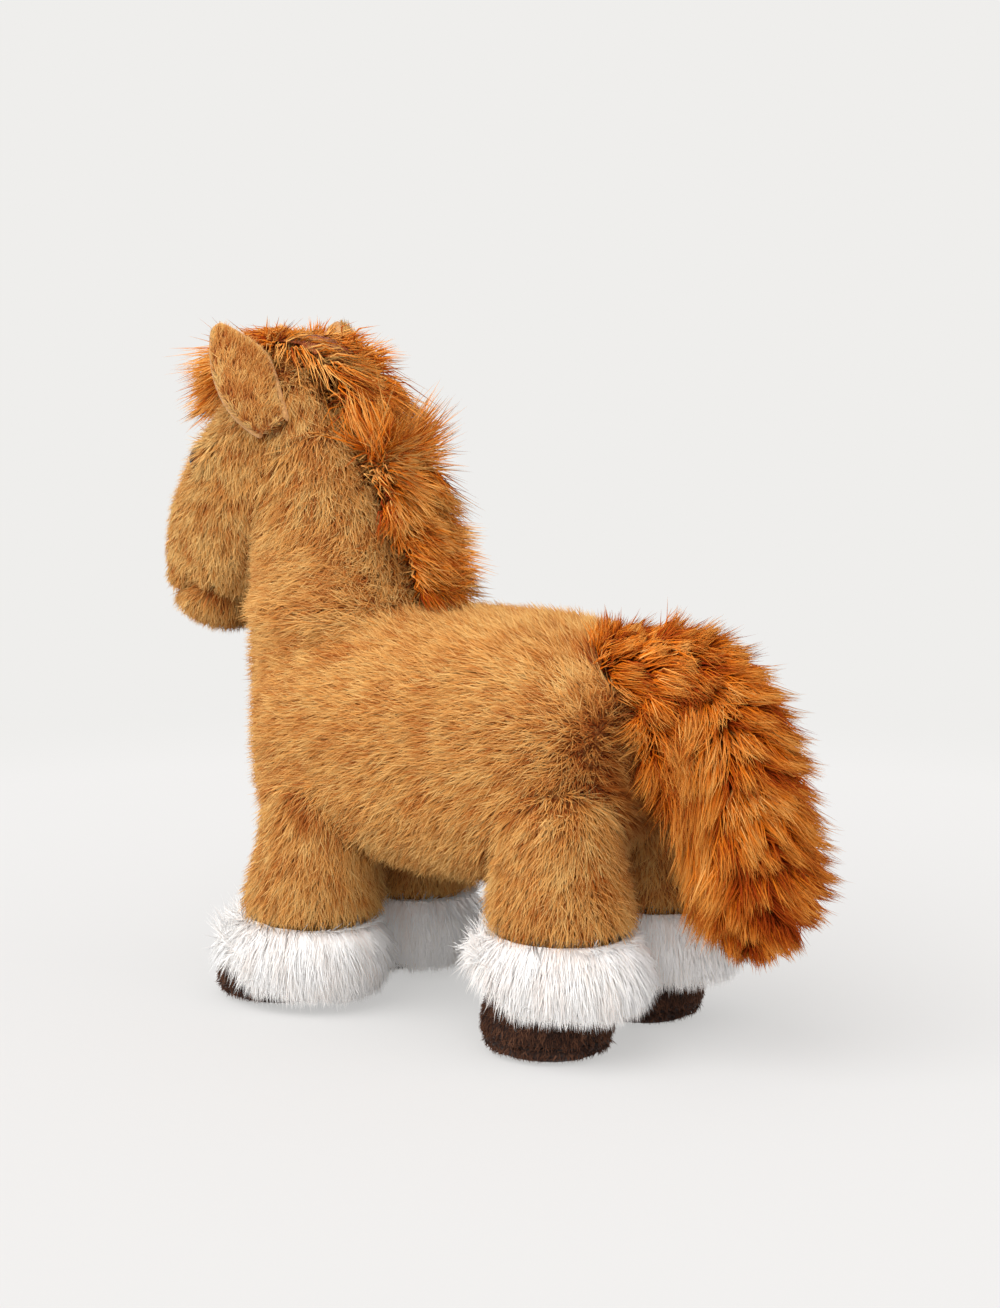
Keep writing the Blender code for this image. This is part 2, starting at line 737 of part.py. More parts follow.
def make_ear(label, side, holder):
    tan = material("ear_tan", FUR_TAN, 0.95)
    pale = material("ear_pale", EDGE_PALE, 0.9)
    back = ear_blade("ear_back_" + label, side, -EAR_BACK_THICK / 2.0, EAR_BACK_THICK / 2.0, holder, tan)
    inner = EAR_BACK_THICK / 2.0 + SEAM_GAP
    lining = ear_blade("ear_lining_" + label, side, inner, inner + EAR_LINING_THICK, holder, pale)
    axis = ear_axes(side)[0]
    radius = POLL_RADIUS + EAR_ROOM
    for piece in (back, lining):
        for number, angle in enumerate((0.0, -EAR_FLOP * side)):
            room = ball(piece.name + "_room_" + str(number), head_pivot(), radius, holder, RING_COUNT)
            cut(piece, turned(room, angle, axis), "MANIFOLD")


# Mane and forelock

def mane_path(t):
    back, up, wide, deep = eased(MANE_SHARES, t)
    neck_wide, neck_deep, shift = eased(NECK_SHARES, up)
    rear = NECK_AXIS_Y - NECK_LEAN * shift + NECK_BASE_RADIUS * neck_deep
    y = rear + MANE_DEPTH * back - MANE_DEPTH * 0.12
    z = NECK_SEAT_Z + NECK_HEIGHT * up
    return Vector((0.0, y, z)), wide, deep


def make_mane(holder):
    rings = []
    rows = 12
    for i in range(rows):
        t = i / (rows - 1.0)
        place, wide, deep = mane_path(t)
        before = mane_path(max(0.0, t - 0.02))[0]
        after = mane_path(min(1.0, t + 0.02))[0]
        run = after - before
        lean = math.atan2(run.z, run.y) - math.pi / 2.0
        lean *= min(1.0, t * 3.0)
        rings.append(ring(place, MANE_WIDTH / 2.0 * wide, MANE_DEPTH / 2.0 * deep, lean, CORE_COUNT, 2.1))
    mane = loft("mane", rings, holder, material("mane_pile", FUR_RUST, 0.9))
    cut(mane, neck_column("mane_seat", -SEAM_GAP, holder, None, OVERRUN))
    cut(mane, ball("mane_head_room", head_pivot(), POLL_RADIUS + SEAM_GAP, holder, RING_COUNT))


def make_forelock(holder):
    rings = []
    rows = 12
    pivot = head_pivot()
    first, final = FORELOCK_SHARES[0][0], FORELOCK_SHARES[-1][0]
    for i in range(rows):
        t = first + (final - first) * i / (rows - 1.0)
        distance, wide, deep = eased(FORELOCK_SHARES, t)
        turn = math.pi / 2.0 * t
        out = Vector((0.0, math.cos(turn), math.sin(turn)))
        place = pivot + out * (POLL_RADIUS * distance)
        rings.append(ring(place, FORELOCK_WIDTH / 2.0 * wide, FORELOCK_DEPTH / 2.0 * deep, turn, CORE_COUNT, 2.1))
    forelock = loft("forelock", rings, holder, material("forelock_pile", FUR_RUST, 0.9))
    room = neck_column("forelock_neck_room", -2.0 * NECK_ROOM, holder, None, OVERRUN)
    cut(forelock, turned(room, NOD_UP, (1.0, 0.0, 0.0)))
    cut(forelock, muzzle_and_cheeks("forelock_seat", -SEAM_GAP, holder), "MANIFOLD")
    cut(forelock, ball("forelock_poll_seat", pivot, POLL_RADIUS + SEAM_GAP, holder, RING_COUNT), "MANIFOLD")


# Tail

def tail_loft(name, inset, holder, look=None):
    rings = []
    rows = 11
    pivot = tail_pivot()
    for i in range(rows):
        t = i / (rows - 1.0) * (1.0 - inset / TAIL_DROP)
        reach, drop, wide, thick = eased(TAIL_SHARES, t)
        near = eased(TAIL_SHARES, max(0.0, t - 0.02))
        far = eased(TAIL_SHARES, min(1.0, t + 0.02))
        run_y = (far[0] - near[0]) * TAIL_REACH
        run_z = -(far[1] - near[1]) * TAIL_DROP
        lean = math.atan2(run_z, run_y) + math.pi / 2.0
        close = 1.0
        if t > 0.8:
            close = math.sqrt(max(0.0, 1.0 - ((t - 0.8) / 0.235) ** 2))
        spot = pivot + Vector((0.0, TAIL_REACH * reach, -TAIL_DROP * drop))
        half_wide = (TAIL_WIDTH / 2.0 * wide - inset) * close
        half_deep = (TAIL_THICK / 2.0 * thick - inset) * close
        rings.append(ring(spot, half_wide, half_deep, lean, count_for(inset), 2.0))
    return loft(name, rings, holder, look)


def tail_core(name, inset, holder, look=None):
    core = tail_loft(name, inset, holder, look)
    cut(core, barrel(name + "_rump_room", -(2.0 * SEAM_GAP + inset), holder))
    join(core, ball(name + "_root", tail_pivot(), TAIL_ROOT_RADIUS - inset, holder, CORE_COUNT))
    return core


def make_tail(holder):
    skin = tail_core("tail_skin", 0.0, holder, material("tail_pile", FUR_RUST, 0.9))
    cut(skin, tail_core("tail_hollow", SKIN_THICK, holder))
    # The tail is filled through its root, which the rump covers.
    deep = SKIN_THICK + 2.0 * OVERRUN
    middle = tail_pivot() - Vector((0.0, TAIL_ROOT_RADIUS + OVERRUN - deep / 2.0, 0.0))
    cut(skin, box_tool("tail_slit", middle, (TAIL_ROOT_RADIUS, deep, SLIT_WIDE), holder))
    tail_core("tail_filling", SKIN_THICK + FILL_ROOM, holder, material("filling", FILL_WHITE, 1.0))


# Legs and feet

def leg_rings(side, end, inset, count):
    # A ball at the hip and a shaft that widens a little towards the cuff.
    hip = hip_place(side, end)
    seam = foot_sizes(end)[0]
    radius = HIP_BALL_RADIUS - inset
    rings = []
    for i in range(4):
        turn = math.pi / 2.0 * (i + 0.4) / 4.0
        z = hip.z + radius * math.cos(turn)
        r = radius * math.sin(turn)
        rings.append(ring((hip.x, hip.y, z), r, r, 0.0, count, 2.0))
    for i in range(5):
        t = i / 4.0
        z = hip.z + (seam - hip.z) * t
        wide, deep = shaft_sizes(end, z)
        y = hip.y + foot_line(end, z)
        rings.append(ring((hip.x, y, z), wide - inset, deep - inset, 0.0, count, 2.0))
    return rings


def leg_inner(name, side, end, inset, holder, look=None, foot=0.0):
    # One stuffed core through the shaft, the cuff and the hoof, down to the sole.
    seam = foot_sizes(end)[0]
    hip = hip_place(side, end)
    rings = leg_rings(side, end, inset, CORE_COUNT)
    half_wide = HOOF_WIDTH / 2.0 - inset
    half_deep = HOOF_LENGTH / 2.0 - inset
    low = SOLE_THICK + SEAM_GAP
    for t in (0.35, 0.7, 1.0):
        z = seam + (low - seam) * t
        spot = (hip.x, hip.y + foot_line(end, z), z)
        rings.append(ring(spot, half_wide, half_deep, 0.0, CORE_COUNT, 2.0))
    if foot:
        rings.append([p - Vector((0.0, 0.0, foot)) for p in rings[-1]])
    return loft(name, rings, holder, look)


def hoof_ring(side, end, grow, z):
    hip = hip_place(side, end)
    wide, deep = eased(HOOF_SHARES, min(1.0, max(0.0, z / foot_sizes(end)[3])))
    spot = (hip.x, hip.y + foot_line(end, z), z)
    return ring(spot, HOOF_WIDTH / 2.0 * wide + grow, HOOF_LENGTH / 2.0 * deep + grow, 0.0, FOOT_COUNT, 2.1)


def steps_between(low, high, count):
    return [low + (high - low) * i / (count - 1.0) for i in range(count)]


def make_leg(label, side, end, holder):
    tag = "_" + end + "_" + label
    seam, hem, shift, hoof_top, reach = foot_sizes(end)
    hip = hip_place(side, end)
    hollow = leg_inner("leg_hollow" + tag, side, end, SKIN_THICK, holder, None, OVERRUN)
    # Upper leg
    skin = loft("leg_skin" + tag, leg_rings(side, end, 0.0, FOOT_COUNT), holder, material("tan_plush", FUR_TAN, 0.95))
    cut(skin, hollow)
    # Hoof and sole
    hoof_low = SOLE_THICK + SEAM_GAP
    brown = material("brown_plush", PLUSH_BROWN, 0.9)
    sole_heights = [SOLE_THICK * share for share in (0.0, 0.10, 0.30, 0.65, 1.0)]
    hoof_heights = steps_between(hoof_low, hoof_top, 5)
    hoof = loft("hoof" + tag, [hoof_ring(side, end, 0.0, z) for z in hoof_heights], holder, brown)
    cut(hoof, hollow)
    loft("sole" + tag, [hoof_ring(side, end, 0.0, z) for z in sole_heights], holder, brown)
    # White cuff
    rings = []
    rows = 7
    top = seam - SEAM_GAP
    for i in range(rows):
        t = i / (rows - 1.0)
        wide, deep = eased(CUFF_SHARES, t)
        z = top + (hem - top) * t
        y = hip.y + shift + (foot_line(end, z) - shift) * 0.45
        tilt = -t * (CUFF_TILT_FRONT if end == "front" else CUFF_TILT_HIND)
        rings.append(ring((hip.x, y, z), CUFF_WIDTH / 2.0 * wide, CUFF_DEPTH / 2.0 * deep, tilt, FOOT_COUNT, 2.1))
    cuff = loft("cuff" + tag, rings, holder, material("cuff_pile", FUR_WHITE, 0.95))
    hoof_tool = [hoof_ring(side, end, 2.0 * SEAM_GAP, z) for z in sole_heights[1:] + hoof_heights[1:]]
    hoof_tool.append([p + Vector((0.0, 0.0, SEAM_GAP)) for p in hoof_tool[-1]])
    cut(cuff, loft("cuff_hoof_room" + tag, hoof_tool, holder))
    cut(cuff, hollow)
    fill = material("filling", FILL_WHITE, 1.0)
    leg_inner("leg_filling" + tag, side, end, SKIN_THICK + FILL_ROOM, holder, fill)


def centre_on_outline(root):
    # Moves the whole horse so that the origin is under the middle of its outline.
    bpy.context.view_layer.update()
    graph = bpy.context.evaluated_depsgraph_get()
    low, high = math.inf, -math.inf
    for piece in bpy.context.scene.objects:
        if piece.type != "MESH" or piece.hide_render:
            continue
        shown = piece.evaluated_get(graph)
        mesh = shown.to_mesh()
        for vertex in mesh.vertices:
            y = (shown.matrix_world @ vertex.co).y
            low = min(low, y)
            high = max(high, y)
        shown.to_mesh_clear()
    root.location.y = -(low + high) / 2.0
    bpy.context.view_layer.update()


def build():
    clear_scene()
    root = carrier("stance", (0.0, 0.0, 0.0), None)
    make_body(carrier("body", (0.0, BARREL_MID_Y, BARREL_MID_Z), root))
    neck = carrier("neck", (0.0, NECK_AXIS_Y, NECK_SEAT_Z), root)
    make_neck(neck)
    make_mane(neck)
    head = carrier("head", head_pivot() - neck.location, neck)
    make_head(head)
    make_forelock(head)
    for label, side in SIDES:
        base = Vector((EAR_BASE.x * side, EAR_BASE.y, EAR_BASE.z))
        make_ear(label, side, carrier("ear_" + label, base - head_pivot(), head))
    make_tail(carrier("tail", tail_pivot(), root))
    for label, side in SIDES:
        for end in ENDS:
            make_leg(label, side, end, carrier("leg_" + end + "_" + label, hip_place(side, end), root))
    centre_on_outline(root)
    print("centre shift", round(root.location.y, 5))


build()
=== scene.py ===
# Plush horse: short tan pile, long rust mane and tail, white cuffs, dark hooves.
import json
import math
from functools import partial

import bpy
import bmesh
from mathutils import Matrix, Vector, noise
from mathutils.bvhtree import BVHTree
from mathutils.kdtree import KDTree


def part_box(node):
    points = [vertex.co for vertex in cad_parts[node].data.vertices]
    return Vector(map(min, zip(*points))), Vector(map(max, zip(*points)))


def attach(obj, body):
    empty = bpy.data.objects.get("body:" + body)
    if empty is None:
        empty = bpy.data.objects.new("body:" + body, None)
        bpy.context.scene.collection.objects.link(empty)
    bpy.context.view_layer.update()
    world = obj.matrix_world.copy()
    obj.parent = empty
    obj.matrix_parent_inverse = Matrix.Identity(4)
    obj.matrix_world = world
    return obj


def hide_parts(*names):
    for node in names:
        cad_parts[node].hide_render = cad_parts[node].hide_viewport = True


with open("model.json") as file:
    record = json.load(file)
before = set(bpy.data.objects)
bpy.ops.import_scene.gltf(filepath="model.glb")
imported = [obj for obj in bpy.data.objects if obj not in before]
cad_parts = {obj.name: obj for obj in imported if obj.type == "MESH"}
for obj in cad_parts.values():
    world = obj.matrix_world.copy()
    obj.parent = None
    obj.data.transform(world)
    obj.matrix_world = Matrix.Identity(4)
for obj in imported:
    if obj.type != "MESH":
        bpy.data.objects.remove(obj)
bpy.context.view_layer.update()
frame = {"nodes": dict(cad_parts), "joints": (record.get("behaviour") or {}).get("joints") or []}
noise.seed_set(5)  # unset, it follows the clock
scene = bpy.context.scene
scene.view_settings.view_transform = "Standard"
cadNodes = frame["nodes"]
sides = {"left": 1.0, "right": -1.0}
legs = [end + "_" + label for end in ("front", "hind") for label in sides]
joints = {joint["name"]: joint for joint in frame["joints"]}
tailPivot = Vector(joints["tail_lift"]["pos_m"])

view = {
    "turn": math.radians(126.5),
    "rise": math.radians(8.1),
    "away": 0.999,
    "fieldOfView": math.radians(28.6),
    "sensor": 36.0,
    "aim": (-0.0051, 0.00855, 0.1413),
}


def linkObject(name, data):
    made = bpy.data.objects.new(name, data)
    scene.collection.objects.link(made)
    return made


def makeCamera():
    camera = bpy.data.cameras.new("camera")
    camera.sensor_width = view["sensor"]
    camera.lens = view["sensor"] / 2.0 / math.tan(view["fieldOfView"] / 2.0)
    turn, rise = view["turn"], view["rise"]
    back = Vector((math.sin(turn) * math.cos(rise), -math.cos(turn) * math.cos(rise),
                   math.sin(rise)))
    holder = linkObject("camera", camera)
    holder.location = Vector(view["aim"]) + back * view["away"]
    holder.rotation_euler = back.to_track_quat("Z", "Y").to_euler()
    scene.camera = holder
    return back


towardsCamera = makeCamera()
print("camera set")


# Node trees


def plug(tree, socket, value):
    if isinstance(value, bpy.types.NodeSocket):
        tree.links.new(value, socket)
    else:
        socket.default_value = value


def addNode(tree, kind, inputs=None, **settings):
    node = tree.nodes.new(kind)
    for name, value in settings.items():
        setattr(node, name, value)
    for key, value in (inputs or {}).items():
        plug(tree, node.inputs[key], value)
    return node


def addSockets(tree, way, kind, *names):
    for name in names:
        tree.interface.new_socket(name, in_out=way, socket_type="NodeSocket" + kind)


def maths(tree, operation, *values):
    return addNode(tree, "ShaderNodeMath", dict(enumerate(values)), operation=operation).outputs[0]


def vectorMaths(tree, operation, *values, scale=None):
    inputs = dict(enumerate(values))
    if scale is not None:
        inputs["Scale"] = scale
    node = addNode(tree, "ShaderNodeVectorMath", inputs, operation=operation)
    return node.outputs["Value"] if operation in ("LENGTH", "DOT_PRODUCT") else node.outputs[0]


def named(tree, name, kind="FLOAT"):
    node = addNode(tree, "GeometryNodeInputNamedAttribute", {"Name": name}, data_type=kind)
    return node.outputs["Attribute"]


def store(tree, geometry, name, value, kind="FLOAT", domain="POINT"):
    return addNode(tree, "GeometryNodeStoreNamedAttribute",
                   {"Geometry": geometry, "Name": name, "Value": value},
                   data_type=kind, domain=domain).outputs[0]


def randomValue(tree, low, high, seed, kind="FLOAT"):
    node = addNode(tree, "FunctionNodeRandomValue", {"Seed": seed}, data_type=kind)
    for name, value in (("Min", low), ("Max", high)):
        plug(tree, next(socket for socket in node.inputs
                        if socket.name == name and socket.enabled), value)
    return next(socket for socket in node.outputs if socket.enabled)


def ramp(tree, value, low, high, **settings):
    return addNode(tree, "ShaderNodeMapRange",
                   {"Value": value, "From Min": low, "From Max": high}, **settings).outputs[0]


pileInputs = {
    "Density": "density", "Length": "length", "Width": "width", "Lean": "lean", "Bend": "bend",
    "Spread": "spread", "Uneven": "uneven", "Tuft size": "tuftSize", "Gather": "gather",
    "Curl": "curl", "Softness": "soft", "Parting": "parting",
}
strandParts = {
    "bulge": 1.9,  # how much fuller than a cone it is
    "crowd": 3.0,
    "spacing": 0.60,  # of tufts, in tuft sizes
    "turn": 6.28,
    "widths": (0.65, 1.25),
    "patchScale": 55.0,
    "ownTone": 0.36,
    "tuftTone": 0.40,
    "patchTone": 0.24,
    "partFrom": 0.30,  # in tuft sizes: nearer a tuft's middle the tone is painted lighter, further out darker
    "mostLie": 1.25,
    "droop": 0.35,
    "groundLift": 0.28,
    "waves": 5.0,
    "clear": (0.0008, 0.0002),  # above the floor, at the tip and at the root
    "mapTone": (0.90, 0.05),
    "mapAround": 0.012,
    "mapAlong": (0.96, 0.02),
}


def makePileTree(steps):
    # Tufts on a surface: they stand on its points, lean along "comb", draw together and bend over.
    tree = bpy.data.node_groups.new("pile%d" % steps, "GeometryNodeTree")
    node, sums, vectors = (partial(tool, tree) for tool in (addNode, maths, vectorMaths))
    field, keep, chance = (partial(tool, tree) for tool in (named, store, randomValue))
    addSockets(tree, "INPUT", "Geometry", "Surface")
    addSockets(tree, "INPUT", "Float", *pileInputs)
    addSockets(tree, "INPUT", "Int", "Seed")
    addSockets(tree, "INPUT", "Material", "Finish")
    addSockets(tree, "OUTPUT", "Geometry", "Pile")
    given = tree.nodes.new("NodeGroupInput").outputs
    tuftSize = given["Tuft size"]
    place = node("GeometryNodeInputPosition").outputs[0]
    parts = node("ShaderNodeSeparateXYZ", {0: place}).outputs

    def combine(x, y, z=0.0):
        return node("ShaderNodeCombineXYZ", {"X": x, "Y": y, "Z": z}).outputs[0]

    def seedOf(step):
        return sums("ADD", given["Seed"], float(step))

    # One tuft: a three-sided spike, fuller than a cone in its middle
    spike = node("GeometryNodeMeshCone", {
        "Vertices": 3, "Side Segments": steps, "Fill Segments": 1,
        "Radius Top": 0.0, "Radius Bottom": 1.0, "Depth": 1.0}, fill_type="NGON").outputs["Mesh"]
    along = parts["Z"]
    fuller = sums("MULTIPLY", along, sums("SUBTRACT", 1.0, along))
    fuller = sums("MULTIPLY_ADD", fuller, strandParts["bulge"], 1.0)
    swollen = vectors("MULTIPLY", place, combine(fuller, fuller, 1.0))
    spike = node("GeometryNodeSetPosition", {"Geometry": spike, "Position": swollen}).outputs[0]
    spike = keep(spike, "along", along)
    spike = keep(spike, "around", sums("MULTIPLY_ADD", parts["Y"], 0.3, parts["X"]))

    # Where the tufts stand
    density = sums("MULTIPLY", given["Density"], field("thick"))
    stand = node("GeometryNodeDistributePointsOnFaces",
                 {"Mesh": given["Surface"], "Density": density, "Seed": given["Seed"]},
                 distribute_method="RANDOM").outputs
    up = stand["Normal"]
    packed = sums("DIVIDE", strandParts["crowd"], sums("MULTIPLY", tuftSize, tuftSize))
    middles = node("GeometryNodeDistributePointsOnFaces",
                   {"Mesh": given["Surface"], "Density Max": packed,
                    "Distance Min": sums("MULTIPLY", tuftSize, strandParts["spacing"]),
                    "Seed": seedOf(7)}, distribute_method="POISSON").outputs["Points"]
    nearest = node("GeometryNodeSampleNearest", {"Geometry": middles}, domain="POINT").outputs[0]
    middle = node("GeometryNodeSampleIndex",
                  {"Geometry": middles, "Index": nearest, "Value": place},
                  data_type="FLOAT_VECTOR", domain="POINT").outputs[0]
    pull = vectors("SUBTRACT", middle, place)
    tuftTone = node("ShaderNodeTexWhiteNoise", {"Vector": middle},
                    noise_dimensions="3D").outputs["Value"]

    # How each one lies
    drift = chance((-1.0, -1.0, -1.0), (1.0, 1.0, 1.0), seedOf(11), "FLOAT_VECTOR")
    wander = vectors("SCALE", drift, scale=given["Spread"])
    loose = vectors("ADD", field("comb", "FLOAT_VECTOR"), wander)
    lift = vectors("DOT_PRODUCT", loose, up)
    flat = vectors("SUBTRACT", loose, vectors("SCALE", up, scale=lift))
    lie = field("lie")
    lean = vectors("SCALE", flat, scale=sums("MULTIPLY", given["Lean"], lie))
    stem = vectors("NORMALIZE", vectors("ADD", up, lean))
    facing = node("FunctionNodeAlignRotationToVector", {"Vector": stem}, axis="Z").outputs[0]
    spin = node("FunctionNodeAxisAngleToRotation", {
        "Axis": (0.0, 0.0, 1.0),
        "Angle": chance(0.0, strandParts["turn"], seedOf(13))}).outputs[0]
    turned = node("FunctionNodeRotateRotation", {"Rotation": facing, "Rotate By": spin},
                  rotation_space="LOCAL").outputs[0]
    shorter = sums("SUBTRACT", 1.0, given["Uneven"])
    longer = sums("ADD", 1.0, given["Uneven"])
    length = sums("MULTIPLY", given["Length"], field("reach"))
    length = sums("MULTIPLY", length, chance(shorter, longer, seedOf(17)))
    width = sums("MULTIPLY", given["Width"], chance(*strandParts["widths"], seedOf(19)))
    tufts = node("GeometryNodeInstanceOnPoints", {
        "Points": stand["Points"], "Instance": spike, "Rotation": turned,
        "Scale": combine(width, width, length)}).outputs[0]
    bend = sums("MULTIPLY", given["Bend"], sums("MINIMUM", lie, strandParts["mostLie"]))
    droop = vectors("SCALE", up, scale=sums("MULTIPLY", bend, strandParts["droop"]))
    bow = vectors("SUBTRACT", vectors("SCALE", flat, scale=bend), droop)

    # Its tone: random per strand, per tuft and in patches, with painted light in the middle of each
    # tuft and painted shade in the partings between tufts, then scaled by the skin's shade field
    ownTone = chance(0.0, 1.0, seedOf(23))
    patch = node("ShaderNodeTexNoise",
                 {"Scale": strandParts["patchScale"], "Detail": 2.0}).outputs[0]
    tone = sums("ADD", sums("MULTIPLY", ownTone, strandParts["ownTone"]),
                sums("MULTIPLY", tuftTone, strandParts["tuftTone"]))
    tone = sums("MULTIPLY_ADD", patch, strandParts["patchTone"], tone)
    off = sums("DIVIDE", vectors("LENGTH", pull), tuftSize)
    nearby = sums("MINIMUM", 1.0, sums("DIVIDE", strandParts["spacing"], off))
    inner = sums("SUBTRACT", strandParts["partFrom"], off)
    tone = sums("MULTIPLY_ADD", inner, given["Parting"], tone)
    tone = sums("MAXIMUM", sums("MULTIPLY", tone, field("shade")), 0.0)
    ground = vectors("MAXIMUM", up, (-1.0, -1.0, 0.0))
    ground = vectors("ADD", ground, (0.0, 0.0, strandParts["groundLift"]))
    told = {
        "bow": vectors("SCALE", bow, scale=length),
        "pull": vectors("SCALE", pull, scale=sums("MULTIPLY", given["Gather"], nearby)),
        "ground": vectors("NORMALIZE", ground),
        "curl": vectors("SCALE", drift, scale=sums("MULTIPLY", given["Curl"], length)),
    }
    for name, value in told.items():
        tufts = keep(tufts, name, value, "FLOAT_VECTOR", "INSTANCE")
    tufts = keep(tufts, "tone", sums("MINIMUM", tone, 1.0), "FLOAT", "INSTANCE")

    # Real strands, bent along their length and coloured by place and tone
    real = node("GeometryNodeRealizeInstances", {"Geometry": tufts}).outputs[0]
    v = field("along")
    wave = sums("MULTIPLY", v, sums("SINE", sums("MULTIPLY", v, strandParts["waves"])))
    bowed, pulled, curled = (
        vectors("SCALE", field(name, "FLOAT_VECTOR"), scale=share)
        for name, share in (("bow", sums("MULTIPLY", v, v)), ("pull", v), ("curl", wave)))
    shift = vectors("ADD", vectors("ADD", bowed, pulled), curled)
    real = node("GeometryNodeSetPosition", {"Geometry": real, "Offset": shift}).outputs[0]
    pressed = sums("MAXIMUM", parts["Z"], sums("MULTIPLY_ADD", v, *strandParts["clear"]))
    above = combine(parts["X"], parts["Y"], pressed)
    real = node("GeometryNodeSetPosition", {"Geometry": real, "Position": above}).outputs[0]
    u = sums("MULTIPLY_ADD", field("tone"), *strandParts["mapTone"])
    u = sums("MULTIPLY_ADD", field("around"), strandParts["mapAround"], u)
    mapPlace = combine(u, sums("MULTIPLY_ADD", v, *strandParts["mapAlong"]))
    real = keep(real, "OFBake", mapPlace, "FLOAT2", "CORNER")
    real = node("GeometryNodeSetShadeSmooth", {"Geometry": real}).outputs[0]
    # Shaded partly as the surface it grows on, which is what makes dense pile look soft
    own = node("GeometryNodeInputNormal").outputs[0]
    soft = node("ShaderNodeMix", {0: given["Softness"], 4: own, 5: field("ground", "FLOAT_VECTOR")},
                data_type="VECTOR").outputs[1]
    real = node("GeometryNodeSetMeshNormal",
                {"Mesh": real, "Custom Normal": vectors("NORMALIZE", soft)},
                mode="FREE", domain="POINT").outputs[0]
    for name in (*told, "along", "around", "tone", "thick", "reach", "comb", "lie", "shade"):
        real = node("GeometryNodeRemoveAttribute", {"Geometry": real, "Name": name}).outputs[0]
    real = node("GeometryNodeSetMaterial", {"Geometry": real, "Material": given["Finish"]})
    node("NodeGroupOutput", {0: real.outputs[0]})
    return tree


pileTrees = {steps: makePileTree(steps) for steps in (1, 2)}


# Cloth skins


def bake(made):
    # The object's mesh with its modifiers in it.
    bpy.context.view_layer.update()
    evaluated = made.evaluated_get(bpy.context.evaluated_depsgraph_get())
    return bpy.data.meshes.new_from_object(evaluated)


def settle(made):
    mesh = bake(made)
    made.modifiers.clear()
    made.data = mesh


def smoothOut(made, rounds):
    soft = made.modifiers.new("soft", "SMOOTH")
    soft.factor = 0.5
    soft.iterations = rounds
    settle(made)


def shadeSmooth(mesh):
    mesh.polygons.foreach_set("use_smooth", [True] * len(mesh.polygons))


def meshOf(names):
    shape = bmesh.new()
    for name in names:
        shape.from_mesh(cadNodes[name].data)
    bmesh.ops.remove_doubles(shape, verts=shape.verts, dist=1e-6)
    mesh = bpy.data.meshes.new("copy")
    shape.to_mesh(mesh)
    shape.free()
    return mesh


def treeOf(mesh):
    return BVHTree.FromPolygons([vert.co for vert in mesh.vertices],
                                [face.vertices[:] for face in mesh.polygons])


def boxOf(node):
    return [Vector(corner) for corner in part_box(node)]


def title(place):
    return "".join(word.capitalize() for word in place.split("_"))


def keepLargest(mesh):
    shape = bmesh.new()
    shape.from_mesh(mesh)
    shape.verts.ensure_lookup_table()
    seen = set()
    groups = []
    for start in shape.verts:
        if start.index in seen:
            continue
        group, edge = [], [start]
        seen.add(start.index)
        while edge:
            vert = edge.pop()
            group.append(vert)
            for link in vert.link_edges:
                other = link.other_vert(vert)
                if other.index not in seen:
                    seen.add(other.index)
                    edge.append(other)
        groups.append(group)
    groups.sort(key=len, reverse=True)
    loose = [vert for group in groups[1:] for vert in group]
    bmesh.ops.delete(shape, geom=loose, context="VERTS")
    shape.to_mesh(mesh)
    shape.free()


def ease(value, low, high):
    share = min(1.0, max(0.0, (value - low) / (high - low)))
    return share * share * (3.0 - 2.0 * share)


skins = {}
clothParts = {"floor": 0.0006, "hemHang": 0.25, "seam": 0.001}


def softSkin(name, nodes, cloth, near=(), shape=None, hemAt=None):
    # The stuffed form of some CAD nodes: one closed skin, drawn in to where the pile is rooted,
    # and less so where it is sewn to its neighbours. The shape function presses in or pads out,
    # and hemAt tells how low the cloth may hang.
    made = linkObject(name, meshOf(nodes))
    grid = made.modifiers.new("grid", "REMESH")
    grid.mode = "VOXEL"
    grid.voxel_size = cloth["grid"]
    settle(made)
    keepLargest(made.data)
    smoothOut(made, cloth["smooth"])
    others = [treeOf(meshOf([other])) for other in near]
    places = []
    for vert in made.data.vertices:
        out = cloth["out"]
        if others:
            apart = min(other.find_nearest(vert.co)[3] for other in others)
            out *= ease(apart, clothParts["seam"], cloth["hem"])
        if shape:
            out += shape(vert.co, vert.normal)
        place = vert.co + vert.normal * out
        if hemAt:
            hem = hemAt(place)
            place.z = max(place.z, hem + (place.z - hem) * clothParts["hemHang"])
        place.z = max(place.z, clothParts["floor"])
        places.append(place)
    for vert, place in zip(made.data.vertices, places):
        vert.co = place
    made.data.update()
    smoothOut(made, cloth.get("after", 2))
    shadeSmooth(made.data)
    made.data.name = name
    skins[name] = {"piece": made, "tree": treeOf(made.data)}


def skinOf(name):
    return skins[name]["piece"]


def setField(mesh, name, kind, values):
    layer = mesh.attributes.get(name) or mesh.attributes.new(name, kind, "POINT")
    if kind == "FLOAT":
        layer.data.foreach_set("value", values)
    else:
        layer.data.foreach_set("vector", [part for value in values for part in value])


